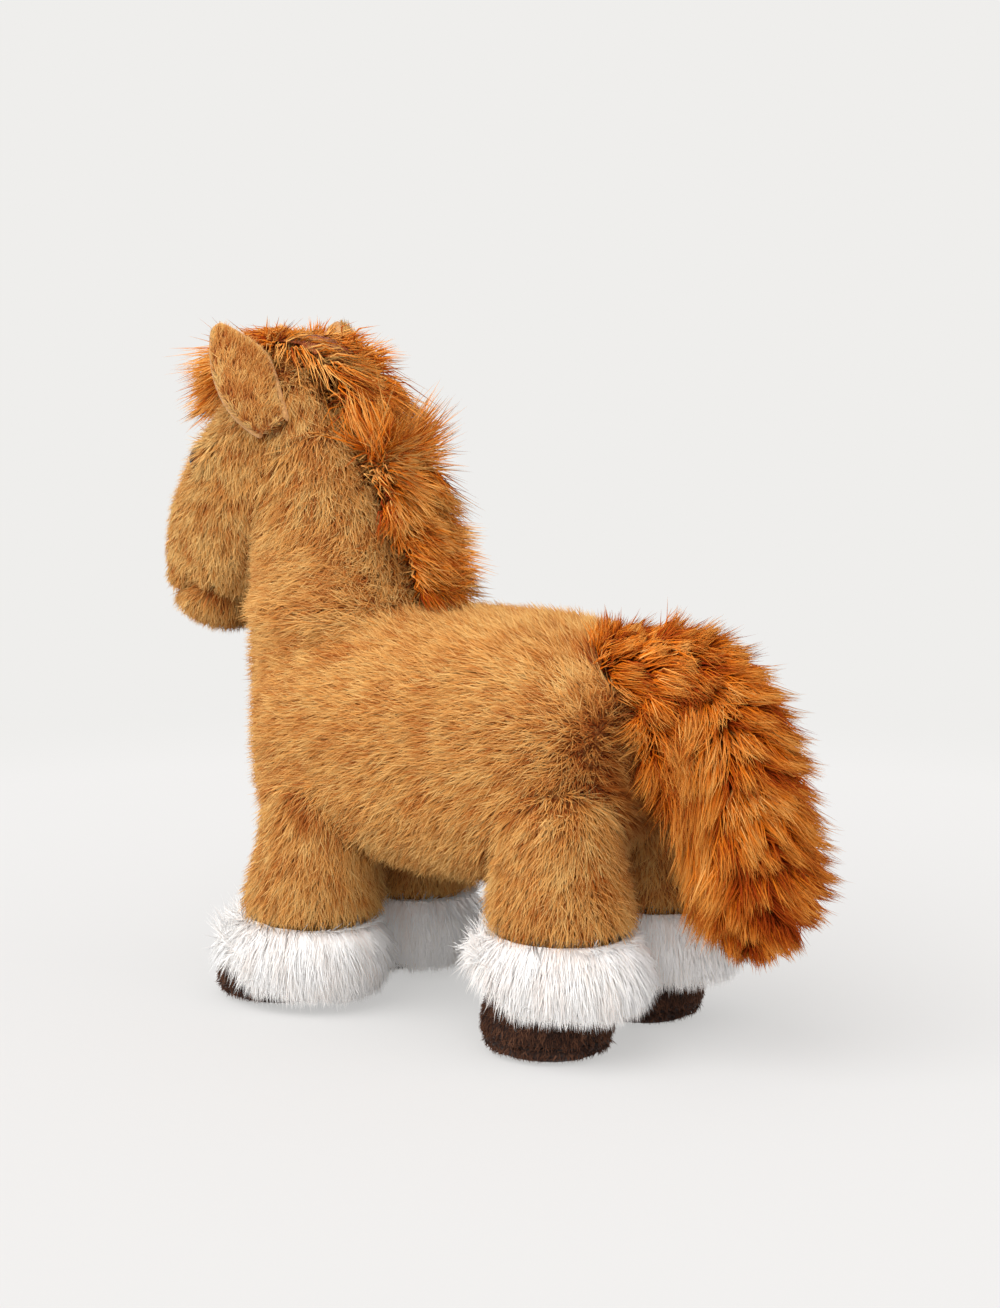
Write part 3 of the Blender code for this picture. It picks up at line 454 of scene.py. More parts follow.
def dress(skin, combAt, thick=None, reach=None, lie=None, shade=None, drift=0.35, cover=0.0035,
          swirl=38.0):
    # Where the pile lies, how dense it is, how long, how flat and how its tone is darkened or
    # lightened (painted shade and light), told at each point of the skin. None grows where another
    # skin covers this one.
    mesh = skin.data
    others = [entry["tree"] for name, entry in skins.items() if name != skin.name]
    rules = {"thick": thick, "reach": reach, "lie": lie, "shade": shade}
    combs, fields = [], {key: [] for key in rules}
    for vert in mesh.vertices:
        p, n = vert.co, vert.normal
        comb = Vector(combAt(p, n)).normalized() + noise.noise_vector(p * swirl) * drift
        combs.append(tuple(comb))
        for key, rule in rules.items():
            fields[key].append(float(rule(p, n)) if rule else 1.0)
        if any(other.ray_cast(p + n * 0.0002, n, cover)[0] is not None for other in others):
            fields["thick"][-1] = 0.0
    setField(mesh, "comb", "FLOAT_VECTOR", combs)
    for key, values in fields.items():
        setField(mesh, key, "FLOAT", values)


# Finishes


def colour(red, green, blue):
    parts = []
    for value in (red, green, blue):
        part = value / 255.0
        parts.append(part / 12.92 if part <= 0.04045 else ((part + 0.055) / 1.055) ** 2.4)
    return (*parts, 1.0)


def mixColour(tree, factor, first, second, blend="MIX"):
    return addNode(tree, "ShaderNodeMix", {0: factor, 6: first, 7: second}, data_type="RGBA",
                   blend_type=blend).outputs[2]


def makeStrandColour():
    # Colour of a strand from its own map: V runs from root to tip, U is the strand's tone.
    tree = bpy.data.node_groups.new("strandColour", "ShaderNodeTree")
    addSockets(tree, "INPUT", "Color", "Root", "Middle", "Tip", "Dark", "Light")
    addSockets(tree, "INPUT", "Float", "Root depth")
    addSockets(tree, "OUTPUT", "Color", "Colour")
    addSockets(tree, "OUTPUT", "Float", "Roughness")
    given = tree.nodes.new("NodeGroupInput").outputs
    strand = addNode(tree, "ShaderNodeUVMap", uv_map="OFBake")
    parts = addNode(tree, "ShaderNodeSeparateXYZ", {0: strand.outputs[0]})
    v, u = parts.outputs["Y"], parts.outputs["X"]
    # Painted shade: strands are darker from the root up to Root depth, standing for shade deep in
    # the pile
    shade = ramp(tree, v, 0.0, given["Root depth"], interpolation_type="SMOOTHSTEP")
    tip = ramp(tree, v, 0.55, 1.0, interpolation_type="SMOOTHSTEP")
    base = mixColour(tree, shade, given["Root"], given["Middle"])
    base = mixColour(tree, tip, base, given["Tip"])
    darker = mixColour(tree, 1.0, base, given["Dark"], "MULTIPLY")
    base = mixColour(tree, ramp(tree, u, 0.48, 0.16), base, darker)
    lighter = mixColour(tree, 0.75, base, given["Light"])
    base = mixColour(tree, ramp(tree, u, 0.52, 0.84), base, lighter)
    rough = addNode(tree, "ShaderNodeMapRange", {"Value": u, "To Min": 0.62, "To Max": 0.82})
    addNode(tree, "NodeGroupOutput", {"Colour": base, "Roughness": rough.outputs[0]})
    return tree


def makeFuzz():
    # Colour and height of short cloth: cloudy patches and fine grain.
    tree = bpy.data.node_groups.new("clothGrain", "ShaderNodeTree")
    addSockets(tree, "INPUT", "Color", "Dark", "Light")
    addSockets(tree, "INPUT", "Float", "Grain")
    addSockets(tree, "OUTPUT", "Color", "Colour")
    addSockets(tree, "OUTPUT", "Float", "Height")
    given = tree.nodes.new("NodeGroupInput").outputs
    place = addNode(tree, "ShaderNodeTexCoord").outputs["Object"]
    fine = addNode(tree, "ShaderNodeTexNoise",
                   {"Vector": place, "Scale": given["Grain"], "Detail": 3.0}).outputs[0]
    patch = addNode(tree, "ShaderNodeTexNoise",
                    {"Vector": place, "Scale": 90.0, "Detail": 2.0}).outputs[0]
    amount = maths(tree, "MULTIPLY_ADD", fine, 0.6, maths(tree, "MULTIPLY", patch, 0.4))
    sharp = ramp(tree, amount, 0.35, 0.65)
    tint = mixColour(tree, sharp, given["Dark"], given["Light"])
    addNode(tree, "NodeGroupOutput", {"Colour": tint, "Height": fine})
    return tree


strandColour = makeStrandColour()
clothGrain = makeFuzz()


def newMaterial(name, **settings):
    material = bpy.data.materials.new(name)
    material.use_nodes = True
    tree = material.node_tree
    shader = tree.nodes["Principled BSDF"]
    for key, value in settings.items():
        shader.inputs[key.replace("_", " ")].default_value = value
    return material, tree, shader


def strandFinish(name, look):
    material, tree, shader = newMaterial(
        name, Sheen_Weight=look["sheen"], Sheen_Roughness=0.5, Sheen_Tint=colour(*look["tip"]),
        Specular_IOR_Level=look.get("gloss", 0.20))
    group = addNode(tree, "ShaderNodeGroup", node_tree=strandColour)
    for key in ("root", "middle", "tip", "dark", "light"):
        group.inputs[key.capitalize()].default_value = colour(*look[key])
    group.inputs["Root depth"].default_value = look["rootDepth"]
    tree.links.new(group.outputs["Colour"], shader.inputs["Base Color"])
    tree.links.new(group.outputs["Roughness"], shader.inputs["Roughness"])
    if "glow" in look:  # painted light: the white pile glows a little, standing for light passed on inside the pile
        tree.links.new(group.outputs["Colour"], shader.inputs["Emission Color"])
        shader.inputs["Emission Strength"].default_value = look["glow"]
    return material


def clothFinish(name, dark, light, grain=900.0, bump=0.35):
    material, tree, shader = newMaterial(name, Roughness=0.85, Sheen_Weight=0.2,
                                         Specular_IOR_Level=0.2)
    group = addNode(tree, "ShaderNodeGroup", node_tree=clothGrain)
    group.inputs["Dark"].default_value = colour(*dark)
    group.inputs["Light"].default_value = colour(*light)
    group.inputs["Grain"].default_value = grain
    tree.links.new(group.outputs["Colour"], shader.inputs["Base Color"])
    relief = addNode(tree, "ShaderNodeBump", {"Strength": bump, "Distance": 0.0006,
                                              "Height": group.outputs["Height"]})
    tree.links.new(relief.outputs[0], shader.inputs["Normal"])
    return material


def plasticFinish(name, scale, detail, dark, light, **settings):
    material, tree, shader = newMaterial(name, **settings)
    place = addNode(tree, "ShaderNodeTexCoord").outputs["Object"]
    cloud = addNode(tree, "ShaderNodeTexNoise",
                    {"Vector": place, "Scale": scale, "Detail": detail}).outputs[0]
    tint = mixColour(tree, cloud, colour(*dark), colour(*light))
    tree.links.new(tint, shader.inputs["Base Color"])
    return material


# Each root colour is darker than its middle: painted shade deep in the pile
looks = {
    "tan": {"root": (144, 72, 18), "middle": (219, 148, 70), "tip": (244, 192, 117),
            "dark": (200, 150, 92), "light": (250, 208, 134), "rootDepth": 0.56, "sheen": 0.04},
    "rust": {"root": (132, 56, 4), "middle": (222, 118, 18), "tip": (248, 166, 74),
             "dark": (182, 130, 72), "light": (252, 194, 112), "rootDepth": 0.58, "sheen": 0.0,
             "gloss": 0.10},
    "white": {"root": (243, 235, 230), "middle": (252, 249, 246), "tip": (255, 254, 252),
              "dark": (248, 240, 235), "light": (255, 255, 255), "rootDepth": 0.6, "sheen": 0.03,
              "glow": 0.07},
    "brown": {"root": (36, 19, 11), "middle": (70, 40, 25), "tip": (116, 76, 52),
              "dark": (180, 165, 155), "light": (122, 82, 60), "rootDepth": 0.6, "sheen": 0.10},
    "ear": {"root": (170, 114, 56), "middle": (230, 172, 100), "tip": (248, 206, 142),
            "dark": (208, 180, 148), "light": (252, 214, 152), "rootDepth": 0.5, "sheen": 0.05},
}
strands = {kind: strandFinish(kind + "Strands", look) for kind, look in looks.items()}
# The cloths under the pile are about as dark as the strand roots: painted shade in the gaps between
# strands
cloths = {kind: clothFinish(kind + "Cloth", dark, light) for kind, dark, light in (
    ("tan", (132, 78, 34), (182, 118, 60)),
    ("rust", (110, 46, 10), (160, 76, 24)),
    ("white", (236, 228, 220), (250, 246, 242)),
    ("brown", (30, 16, 10), (60, 34, 22)),
    ("ear", (170, 118, 68), (214, 164, 106)))}
cloths["fibre"] = clothFinish("fibreFill", (216, 214, 208), (246, 245, 242), 420.0, 0.6)
print("finishes made")


def growPile(name, surface, pile, kind, body, seed):
    # The pile of one surface as a plain mesh that rides on the surface's body.
    carrier = linkObject(name + "Surface", surface)
    step = carrier.modifiers.new("pile", "NODES")
    step.node_group = pileTrees[pile["steps"]]
    values = {label: float(pile[key]) for label, key in pileInputs.items()}
    values.update({"Seed": seed, "Finish": strands[kind]})
    for item in step.node_group.interface.items_tree:
        if item.in_out == "INPUT" and item.name in values:
            step[item.identifier] = values[item.name]
    mesh = bake(carrier)
    mesh.name = name
    bpy.data.objects.remove(carrier)
    made = linkObject(name, mesh)
    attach(made, body)
    print(name, len(mesh.polygons), "faces")


zoneParts = {"blend": 0.006, "seedStep": 31, "far": 10.0}


def growZones(name, skin, pile, kind, body, seed, axis=1, cuts=()):
    # One piece of pile to each stretch between the cuts, thinning into the next over a short way.
    mesh = skin.data
    whole = [0.0] * len(mesh.vertices)
    mesh.attributes["thick"].data.foreach_get("value", whole)
    edges = [-zoneParts["far"], *cuts, zoneParts["far"]]
    for index, (low, high) in enumerate(zip(edges, edges[1:])):
        share = []
        for vert, value in zip(mesh.vertices, whole):
            rising, falling = (
                min(1.0, max(0.0, (vert.co[axis] - edge) / zoneParts["blend"] + 0.5))
                for edge in (low, high))
            share.append(value * (rising - falling))
        zone = mesh.copy()
        setField(zone, "thick", "FLOAT", share)
        label = "%s%d" % (name, index + 1) if cuts else name
        growPile(label, zone, pile, kind, body, seed + index * zoneParts["seedStep"])


def finishPiece(piece, body, material, replaced=()):
    piece.data.materials.clear()
    piece.data.materials.append(material)
    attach(piece, body)
    if replaced:
        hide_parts(*replaced)


def finishSkin(name, body, kind, replaced):
    finishPiece(skinOf(name), body, cloths[kind], replaced)


# Pile of two lengths, to which each piece adds its own values

shortPile = {"steps": 1, "bend": 0.30, "uneven": 0.30, "curl": 0.0}
longPile = {"steps": 2, "uneven": 0.25, "curl": 0.22, "parting": 0.95}


# Body

bodyParts = {
    "cloth": {"grid": 0.0024, "smooth": 4, "out": -0.0026, "hem": 0.008},
    "pile": {**shortPile, "density": 1.85e6, "length": 0.0080, "width": 0.00032, "lean": 1.25,
             "spread": 0.55, "tuftSize": 0.0046, "gather": 0.50, "soft": 0.72, "parting": 0.45},
    "cuts": (-0.045, -0.005, 0.035),
    "seed": 101,
    "belly": (0.13, 0.08),  # heights between which the pile turns down
    "rump": (0.060, 0.082),  # where it stands up, with painted shade under the tail
    "rumpHeight": 0.105,
    "rumpHalf": (0.012, 0.034),
}


def stuffBody():
    softSkin("bodyCloth", ["body_skin", "body_filling"], bodyParts["cloth"],
             ["neck_skin", "tail_skin"] + ["leg_skin_" + place for place in legs])


def makeBody():
    skin = skinOf("bodyCloth")

    def onRump(p):
        off = abs(p.z - bodyParts["rumpHeight"])
        return ease(p.y, *bodyParts["rump"]) * (1.0 - ease(off, *bodyParts["rumpHalf"]))

    # Painted shade: the pile is darker on the rump under the tail
    dress(skin, lambda p, n: (0.0, -1.0, -0.15 - 0.75 * ease(p.z, *bodyParts["belly"])),
          lie=lambda p, n: 1.0 - 0.75 * onRump(p), shade=lambda p, n: 1.0 - 0.45 * onRump(p))
    growZones("bodyPile", skin, bodyParts["pile"], "tan", "body", bodyParts["seed"], 1,
              bodyParts["cuts"])
    finishSkin("bodyCloth", "body", "tan", ["body_skin"])


# Neck

neckParts = {
    "cloth": {"grid": 0.0022, "smooth": 3, "out": -0.0024, "hem": 0.008},
    "cuts": (0.0,),
    "seed": 211,
    "chest": (0.20, 0.165),  # heights between which the pile turns forward
}


def stuffNeck():
    softSkin("neckCloth", ["neck_skin", "neck_filling"], neckParts["cloth"],
             ["body_skin", "head_skin"])


def makeNeck():
    skin = skinOf("neckCloth")

    def combAt(p, n):
        chest = ease(p.z, *neckParts["chest"])
        return (0.0, -0.1 - 0.9 * chest, -1.0 + 0.7 * chest)

    dress(skin, combAt)
    growZones("neckPile", skin, bodyParts["pile"], "tan", "neck", neckParts["seed"], 0,
              neckParts["cuts"])
    finishSkin("neckCloth", "neck", "tan", ["neck_skin"])


# Head

headParts = {
    "cloth": {"grid": 0.0019, "smooth": 3, "out": -0.0020, "hem": 0.006},
    "pile": {**shortPile, "density": 2.1e6, "length": 0.0066, "width": 0.00030, "lean": 1.15,
             "spread": 0.65, "tuftSize": 0.0051, "gather": 0.55, "soft": 0.70, "parting": 0.60},
    "cuts": (0.0,),
    "seed": 307,
    "eyeGap": (0.0045, 0.0062),  # no pile in front of the eyes
    "behindEye": (0.0, 0.006, 0.002),
    "behindSize": (0.004, 0.012),
    "muzzle": (-0.150, -0.115),
    "face": (-0.10, -0.13),
}

faceParts = {
    "nostril": (0.0245, -0.1290, 0.1625),
    "nostrilSize": 0.0085,
    "jawLine": ((0.0237, -0.1196, 0.1618), (0.0179, -0.1146, 0.1571),
                (0.0086, -0.1093, 0.1557), (0.0, -0.1085, 0.1552)),
    "lipLine": ((0.0237, -0.1196, 0.1618), (0.0225, -0.1330, 0.1600),
                (0.0130, -0.1470, 0.1590), (0.0, -0.1510, 0.1585)),
    "lipWidth": 0.0042,
    "lipDepth": 0.0072,
    "browPlace": (0.004, 0.0085, 0.003),  # from the eye
    "browSize": (0.002, 0.0085),
    "browHeight": 0.0022,
}
eyePlaces = {label: sum(boxOf("eye_" + label), Vector()) / 2 for label in sides}


def lineDistance(p, line):
    # Distance from a point to a line drawn on the left half, mirrored to the right.
    q = Vector((abs(p.x), p.y, p.z))
    best = 1.0
    for first, second in zip(line, line[1:]):
        a, b = Vector(first), Vector(second)
        share = min(1.0, max(0.0, (q - a).dot(b - a) / (b - a).length_squared))
        best = min(best, (q - a.lerp(b, share)).length)
    return best


def muzzleMark(p):
    # 1 in the nostrils and along the mouth, 0 away from them.
    away = (Vector((abs(p.x), p.y, p.z)) - Vector(faceParts["nostril"])).length
    near = 1.0 - ease(away, 0.0, faceParts["nostrilSize"])
    line = min(lineDistance(p, faceParts["jawLine"]), lineDistance(p, faceParts["lipLine"]))
    return max(near, 1.0 - ease(line, 0.0, faceParts["lipWidth"]))


def headShape(p, n):
    eye = eyePlaces["left" if p.x > 0 else "right"]
    across, along, above = faceParts["browPlace"]
    behind = eye + Vector((math.copysign(across, p.x), along, above))
    brow = 1.0 - ease((p - behind).length, *faceParts["browSize"])
    return brow * faceParts["browHeight"] - muzzleMark(p) * faceParts["lipDepth"]


def stuffHead():
    softSkin("headCloth", ["head_skin", "head_filling"], headParts["cloth"], ["neck_skin"],
             headShape)


def makeHead():
    skin = skinOf("headCloth")
    behind = Vector(headParts["behindEye"])

    def combAt(p, n):
        return (0.0, 0.25 - 0.5 * ease(p.y, *headParts["face"]), -0.9)

    def thickAt(p, n):
        return min(ease((p - eye).length, *headParts["eyeGap"]) for eye in eyePlaces.values())

    def reachAt(p, n):
        muzzle = ease(p.y, *headParts["muzzle"])
        longer = max(1.0 - ease((p - eye - behind).length, *headParts["behindSize"])
                     for eye in eyePlaces.values())
        return (0.75 + 0.25 * muzzle) * (1.0 - 0.6 * muzzleMark(p)) * (1.0 + 0.3 * longer)

    # Painted light and shade: the head's pile is painted 15% lighter all over, with painted shade
    # in the nostrils and along the mouth
    dress(skin, combAt, thickAt, reachAt, shade=lambda p, n: 1.15 - muzzleMark(p), cover=0.008)
    growZones("headPile", skin, headParts["pile"], "tan", "head", headParts["seed"], 0,
              headParts["cuts"])
    finishSkin("headCloth", "head", "tan", ["head_skin"])


# Legs, each with its cuff, hoof and sole

legParts = {
    "seed": 401,
    "seedStep": 17,
    "tuck": 0.0210,  # how far the cuff's front is gathered up
    "tuckFrom": 0.006,  # places along Y, from the cuff's middle
    "tuckRun": (0.0, 0.024),
    "hemLift": 0.002,
    "seam": (-0.006, -0.002),  # the leg's pile ends just under the cuff's upper seam
    "aboveSeam": (0.0, 0.012),
    "frontFrom": 0.006,
    "frontRun": (0.0, 0.016),
    "toeFrom": 0.004,
    "toeRun": (0.0, 0.014),
    "lowerRun": (-0.002, 0.012),
    "cloth": {"grid": 0.0021, "smooth": 3, "out": -0.0024, "hem": 0.008},
    "cuffCloth": {"grid": 0.0018, "smooth": 3, "out": -0.0044, "hem": 0.0, "after": 5},
    "cuffPile": {**shortPile, "density": 3.0e6, "length": 0.0120, "width": 0.00034, "lean": 2.9,
                 "bend": 0.20, "spread": 0.26, "uneven": 0.35, "tuftSize": 0.0058, "gather": 0.40,
                 "soft": 0.78, "parting": 0.15},
    "hoofCloth": {"grid": 0.0014, "smooth": 2, "out": -0.0009, "hem": 0.0},
    "soleCloth": {"grid": 0.0014, "smooth": 7, "out": -0.0004, "hem": 0.0},
    "hoofPile": {**shortPile, "density": 1.4e6, "length": 0.0023, "width": 0.00033, "lean": 0.9,
                 "spread": 0.9, "tuftSize": 0.0033, "gather": 0.35, "soft": 0.55, "parting": 0.4},
}


def cuffHem(place):
    # The cuff is gathered up in front, where the toe of the hoof shows below it.
    low, high = boxOf("cuff_" + place)
    front = ((low + high) / 2).y + legParts["tuckFrom"]
    hem = low.z + legParts["hemLift"]
    return lambda p: hem + legParts["tuck"] * ease(front - p.y, *legParts["tuckRun"])


def stuffLegs():
    for place in legs:
        softSkin("legCloth" + title(place), ["leg_skin_" + place, "leg_filling_" + place],
                 legParts["cloth"], ["body_skin"])
        softSkin("cuffCloth" + title(place), ["cuff_" + place], legParts["cuffCloth"],
                 hemAt=cuffHem(place))
        for kind in ("hoof", "sole"):
            softSkin(kind + "Cloth" + title(place), [kind + "_" + place], legParts[kind + "Cloth"])


def makeCuff(place, seed):
    cuff = skinOf("cuffCloth" + title(place))
    low, high = boxOf("cuff_" + place)
    middle = (low + high) / 2

    def away(p):
        return Vector((p.x - middle.x, p.y - middle.y, 0.0)).normalized()

    def frontTop(p, n):
        front = ease(middle.y - legParts["frontFrom"] - p.y, *legParts["frontRun"])
        return front * ease(n.z, 0.40, 0.85)

    def combAt(p, n):
        top = ease(n.z, 0.45, 0.9)
        front = frontTop(p, n)
        outward = away(p) * (0.30 + 0.9 * top - 1.2 * front)
        return tuple(outward + Vector((0.0, 0.0, -1.0 + 0.6 * top + 1.5 * front)))

    def reachAt(p, n):
        toe = ease(middle.y - legParts["toeFrom"] - p.y, *legParts["toeRun"])
        lower = ease(middle.z - p.z, *legParts["lowerRun"]) * (1.0 - 0.25 * toe)
        top = ease(n.z, 0.2, 0.8) * (1.0 - frontTop(p, n))
        return (1.0 - 0.60 * top) * (1.0 - 0.50 * lower) * (1.0 - 0.4 * ease(-n.z, 0.3, 0.9))

    def thickAt(p, n):
        # None on the wall that lies against the leg
        return 1.0 - ease(-away(p).dot(n), -0.05, 0.3)

    dress(cuff, combAt, thickAt, reachAt, drift=0.15, cover=0.002)
    growZones("cuffPile" + title(place), cuff, legParts["cuffPile"], "white", "leg_" + place, seed)
    finishSkin("cuffCloth" + title(place), "leg_" + place, "white", ["cuff_" + place])


def makeLeg(place, seed):
    body = "leg_" + place
    skin, hoof, sole = (skinOf(kind + "Cloth" + title(place)) for kind in ("leg", "hoof", "sole"))
    seam = boxOf("cuff_" + place)[1].z
    dress(skin, lambda p, n: (0.0, -0.12, -1.0), lambda p, n: ease(p.z - seam, *legParts["seam"]),
          lambda p, n: 0.82 + 0.18 * ease(p.z - seam, *legParts["aboveSeam"]))
    growZones("legPile" + title(place), skin, bodyParts["pile"], "tan", body, seed)
    finishSkin("legCloth" + title(place), body, "tan", ["leg_skin_" + place])
    makeCuff(place, seed + 3)
    dress(hoof, lambda p, n: (0.0, 0.0, -1.0))
    growZones("hoofPile" + title(place), hoof, legParts["hoofPile"], "brown", body, seed + 5)
    finishSkin("hoofCloth" + title(place), body, "brown", ["hoof_" + place])
    dress(sole, lambda p, n: (0.0, 0.0, -1.0), lambda p, n: 1.0 - ease(-n.z, 0.55, 0.85))
    growZones("solePile" + title(place), sole, legParts["hoofPile"], "brown", body, seed + 7)
    finishSkin("soleCloth" + title(place), body, "brown", ["sole_" + place])


def makeLegs():
    for index, place in enumerate(legs):
        makeLeg(place, legParts["seed"] + legParts["seedStep"] * index)


# Tail

tailParts = {
    "cloth": {"grid": 0.0026, "smooth": 4, "out": -0.0105, "hem": 0.022},
    "fill": {"grid": 0.0026, "smooth": 4, "out": -0.0085, "hem": 0.0},
    "pile": {**longPile, "density": 2.3e6, "length": 0.0170, "width": 0.00037, "lean": 0.64,
             "bend": 0.34, "spread": 0.34, "tuftSize": 0.0080, "gather": 0.92, "soft": 0.44},
    "cuts": (0.105,),
    "seed": 503,
    "turnDown": 0.045,  # the pile has turned down this far behind the pivot
    "tip": 0.045,  # it grows shorter from here down, and over the seat
    "tipRun": (0.0, 0.035),
    "seat": 0.012,
    "seatRun": (0.0, 0.01),
    "light": 0.93,
    "drift": 0.7,
    "swirl": 65.0,
}


def stuffTail():
    softSkin("tailCloth", ["tail_skin", "tail_filling"], tailParts["cloth"], ["body_skin"])


def makeTail():
    skin = skinOf("tailCloth")
    lowest = boxOf("tail_skin")[0].z

    def combAt(p, n):
        out = Vector((p.x * 4.0, 1.0, 0.35))
        down = Vector((p.x * 6.0, 0.10 + 0.45 * ease(n.y, 0.2, 0.9), -1.0))
        share = ease(p.y, tailPivot.y, tailPivot.y + tailParts["turnDown"])
        return tuple(out.lerp(down, share))

    def reachAt(p, n):
        tip = ease(lowest + tailParts["tip"] - p.z, *tailParts["tipRun"])
        seat = ease(tailPivot.y + tailParts["seat"] - p.y, *tailParts["seatRun"])
        return 1.0 - 0.45 * tip - 0.25 * seat - 0.25 * ease(n.z, 0.4, 0.9)

    def lieAt(p, n):
        return 1.0 + 0.5 * ease(-n.y, -0.2, 0.6) - 0.25 * ease(n.y, 0.2, 0.8)

    dress(skin, combAt, reach=reachAt, lie=lieAt, shade=lambda p, n: tailParts["light"],
          drift=tailParts["drift"], swirl=tailParts["swirl"])
    growZones("tailPile", skin, tailParts["pile"], "rust", "tail", tailParts["seed"], 2,
              tailParts["cuts"])
    finishSkin("tailCloth", "tail", "rust", ["tail_skin"])


# Mane and forelock

maneParts = {
    "cloth": {"grid": 0.0020, "smooth": 3, "out": -0.0055, "hem": 0.012},
    "pile": {**longPile, "density": 2.6e6, "length": 0.0132, "width": 0.00040, "lean": 0.62,
             "bend": 0.46, "spread": 0.44, "tuftSize": 0.0070, "gather": 0.90, "soft": 0.50},
    "seed": 601,
    "upper": (0.208, 0.222),  # heights
    "fuller": (0.185, 0.215),
    "poll": (0.214, 0.226),
    "light": 1.22,
    "drift": 1.0,
    "swirl": 90.0,
}
forelockParts = {
    "seed": 631,
    "press": 0.0050,
    "pressed": (-0.100, -0.078),  # places along Y, as are the next three
    "back": (-0.105, -0.080),
    "rear": (-0.088, -0.070),
    "side": (-0.125, -0.105),
    "front": -0.098,
    "frontRun": (0.0, 0.012),
    "drift": 0.9,
}


def forelockShape(p, n):
    # Flatter behind, where the mane begins
    back = ease(p.y, *forelockParts["pressed"])
    return -forelockParts["press"] * back * ease(n.z, 0.45, 0.85)


def stuffMane():
    softSkin("maneCloth", ["mane"], maneParts["cloth"], ["head_skin", "forelock"])
    softSkin("forelockCloth", ["forelock"], maneParts["cloth"], ["mane"], forelockShape)


def makeMane():
    mane = skinOf("maneCloth")

    def combAt(p, n):
        upper = ease(p.z, *maneParts["upper"])
        return (p.x * 35.0, 0.8 - 0.6 * upper, -0.45 + 1.2 * upper)

    def reachAt(p, n):
        flank = (0.46 + 0.35 * ease(p.z, *maneParts["fuller"])) * ease(abs(n.x), 0.15, 0.7)
        return 0.62 + flank + 0.3 * ease(p.z, *maneParts["poll"])

    dress(mane, combAt, reach=reachAt, shade=lambda p, n: maneParts["light"],
          drift=maneParts["drift"], swirl=maneParts["swirl"], cover=0.001)
    growZones("manePile", mane, maneParts["pile"], "rust", "neck", maneParts["seed"])
    finishSkin("maneCloth", "neck", "rust", ["mane"])


def makeForelock():
    lock = skinOf("forelockCloth")

    def combAt(p, n):
        back = ease(p.y, *forelockParts["back"])
        return (p.x * 45.0, -0.9 + 1.6 * back, -0.25 - 0.45 * back)

    def reachAt(p, n):
        top = ease(n.z, 0.1, 0.8)
        rear = ease(p.y, *forelockParts["rear"])
        side = ease(abs(n.x), 0.25, 0.8) * ease(p.y, *forelockParts["side"])
        front = ease(forelockParts["front"] - p.y, *forelockParts["frontRun"])
        return 0.80 - 0.42 * top + 0.60 * side + 0.30 * rear * (1.0 - top) + 0.30 * front

    dress(lock, combAt, reach=reachAt, lie=lambda p, n: 1.0 + 0.6 * ease(n.z, 0.3, 0.8),
          shade=lambda p, n: maneParts["light"], drift=forelockParts["drift"],
          swirl=maneParts["swirl"], cover=0.001)
    growZones("forelockPile", lock, maneParts["pile"], "rust", "head", forelockParts["seed"])
    finishSkin("forelockCloth", "head", "rust", ["forelock"])


# Ears

earParts = {
    "cloth": {"grid": 0.0008, "smooth": 12, "out": 0.0, "hem": 0.0},
    "pile": {**shortPile, "density": 2.6e6, "length": 0.0050, "width": 0.00026, "lean": 1.3,
             "spread": 0.6, "tuftSize": 0.0043, "gather": 0.5, "soft": 0.62, "parting": 0.6},
    "seed": 701,
    "seedStep": 11,
    "edge": (0.0012, 0.0020),  # distances from the rim
    "inner": (0.002, 0.009),
}

rimParts = {"count": 56, "radius": 0.0015, "from": 0.06, "to": 0.94, "furthest": 5,
            "thinRounds": 40, "tallRounds": 60, "smoothRounds": 14}


def makeRim(label):
    # The turned seam round an ear's edge, drawn on the outline of its back and lining.
    points = [vert.co.copy() for layer in ("earBack", "earLining")
              for vert in skinOf(layer + title(label)).data.vertices]
    centre = sum(points, Vector()) / len(points)
    spread = Matrix([[sum((p - centre)[i] * (p - centre)[j] for p in points) for j in range(3)]
                     for i in range(3)])
    inverse = (spread + Matrix.Identity(3) * 1e-9).inverted()
    thin = Vector((0.3, 0.6, 0.4)).normalized()
    for _ in range(rimParts["thinRounds"]):
        thin = (inverse @ thin).normalized()
    tall = Vector((0.3, 0.6, 0.9)).normalized()
    for _ in range(rimParts["tallRounds"]):
        tall = (spread @ tall).normalized()
    if tall.z < 0:
        tall = -tall
    wide = thin.cross(tall).normalized()
    count = rimParts["count"]
    line = []
    for index in range(count):
        share = rimParts["from"] + (rimParts["to"] - rimParts["from"]) * index / (count - 1)
        angle = -math.pi + 2.0 * math.pi * share
        way = tall * math.cos(angle) + wide * math.sin(angle)
        reach = sorted(points, key=lambda p: (p - centre).dot(way))[-rimParts["furthest"]:]
        line.append(sum(reach, Vector()) / rimParts["furthest"])
    for _ in range(rimParts["smoothRounds"]):
        line = [line[0]] + [(line[i - 1] + line[i] * 2 + line[i + 1]) / 4
                            for i in range(1, count - 1)] + [line[-1]]
    curve = bpy.data.curves.new("rim", "CURVE")
    curve.dimensions = "3D"
    curve.bevel_depth = rimParts["radius"]
    curve.bevel_resolution = 2
    curve.use_fill_caps = True
    spline = curve.splines.new("POLY")
    spline.points.add(count - 1)
    for point, place in zip(spline.points, line):
        point.co = (*place, 1.0)
    holder = linkObject("rimCurve", curve)
    mesh = bake(holder)
    bpy.data.objects.remove(holder)
    shadeSmooth(mesh)
    finishPiece(linkObject("earRim" + title(label), mesh), "ear_" + label,
                cloths["ear"])
    return line


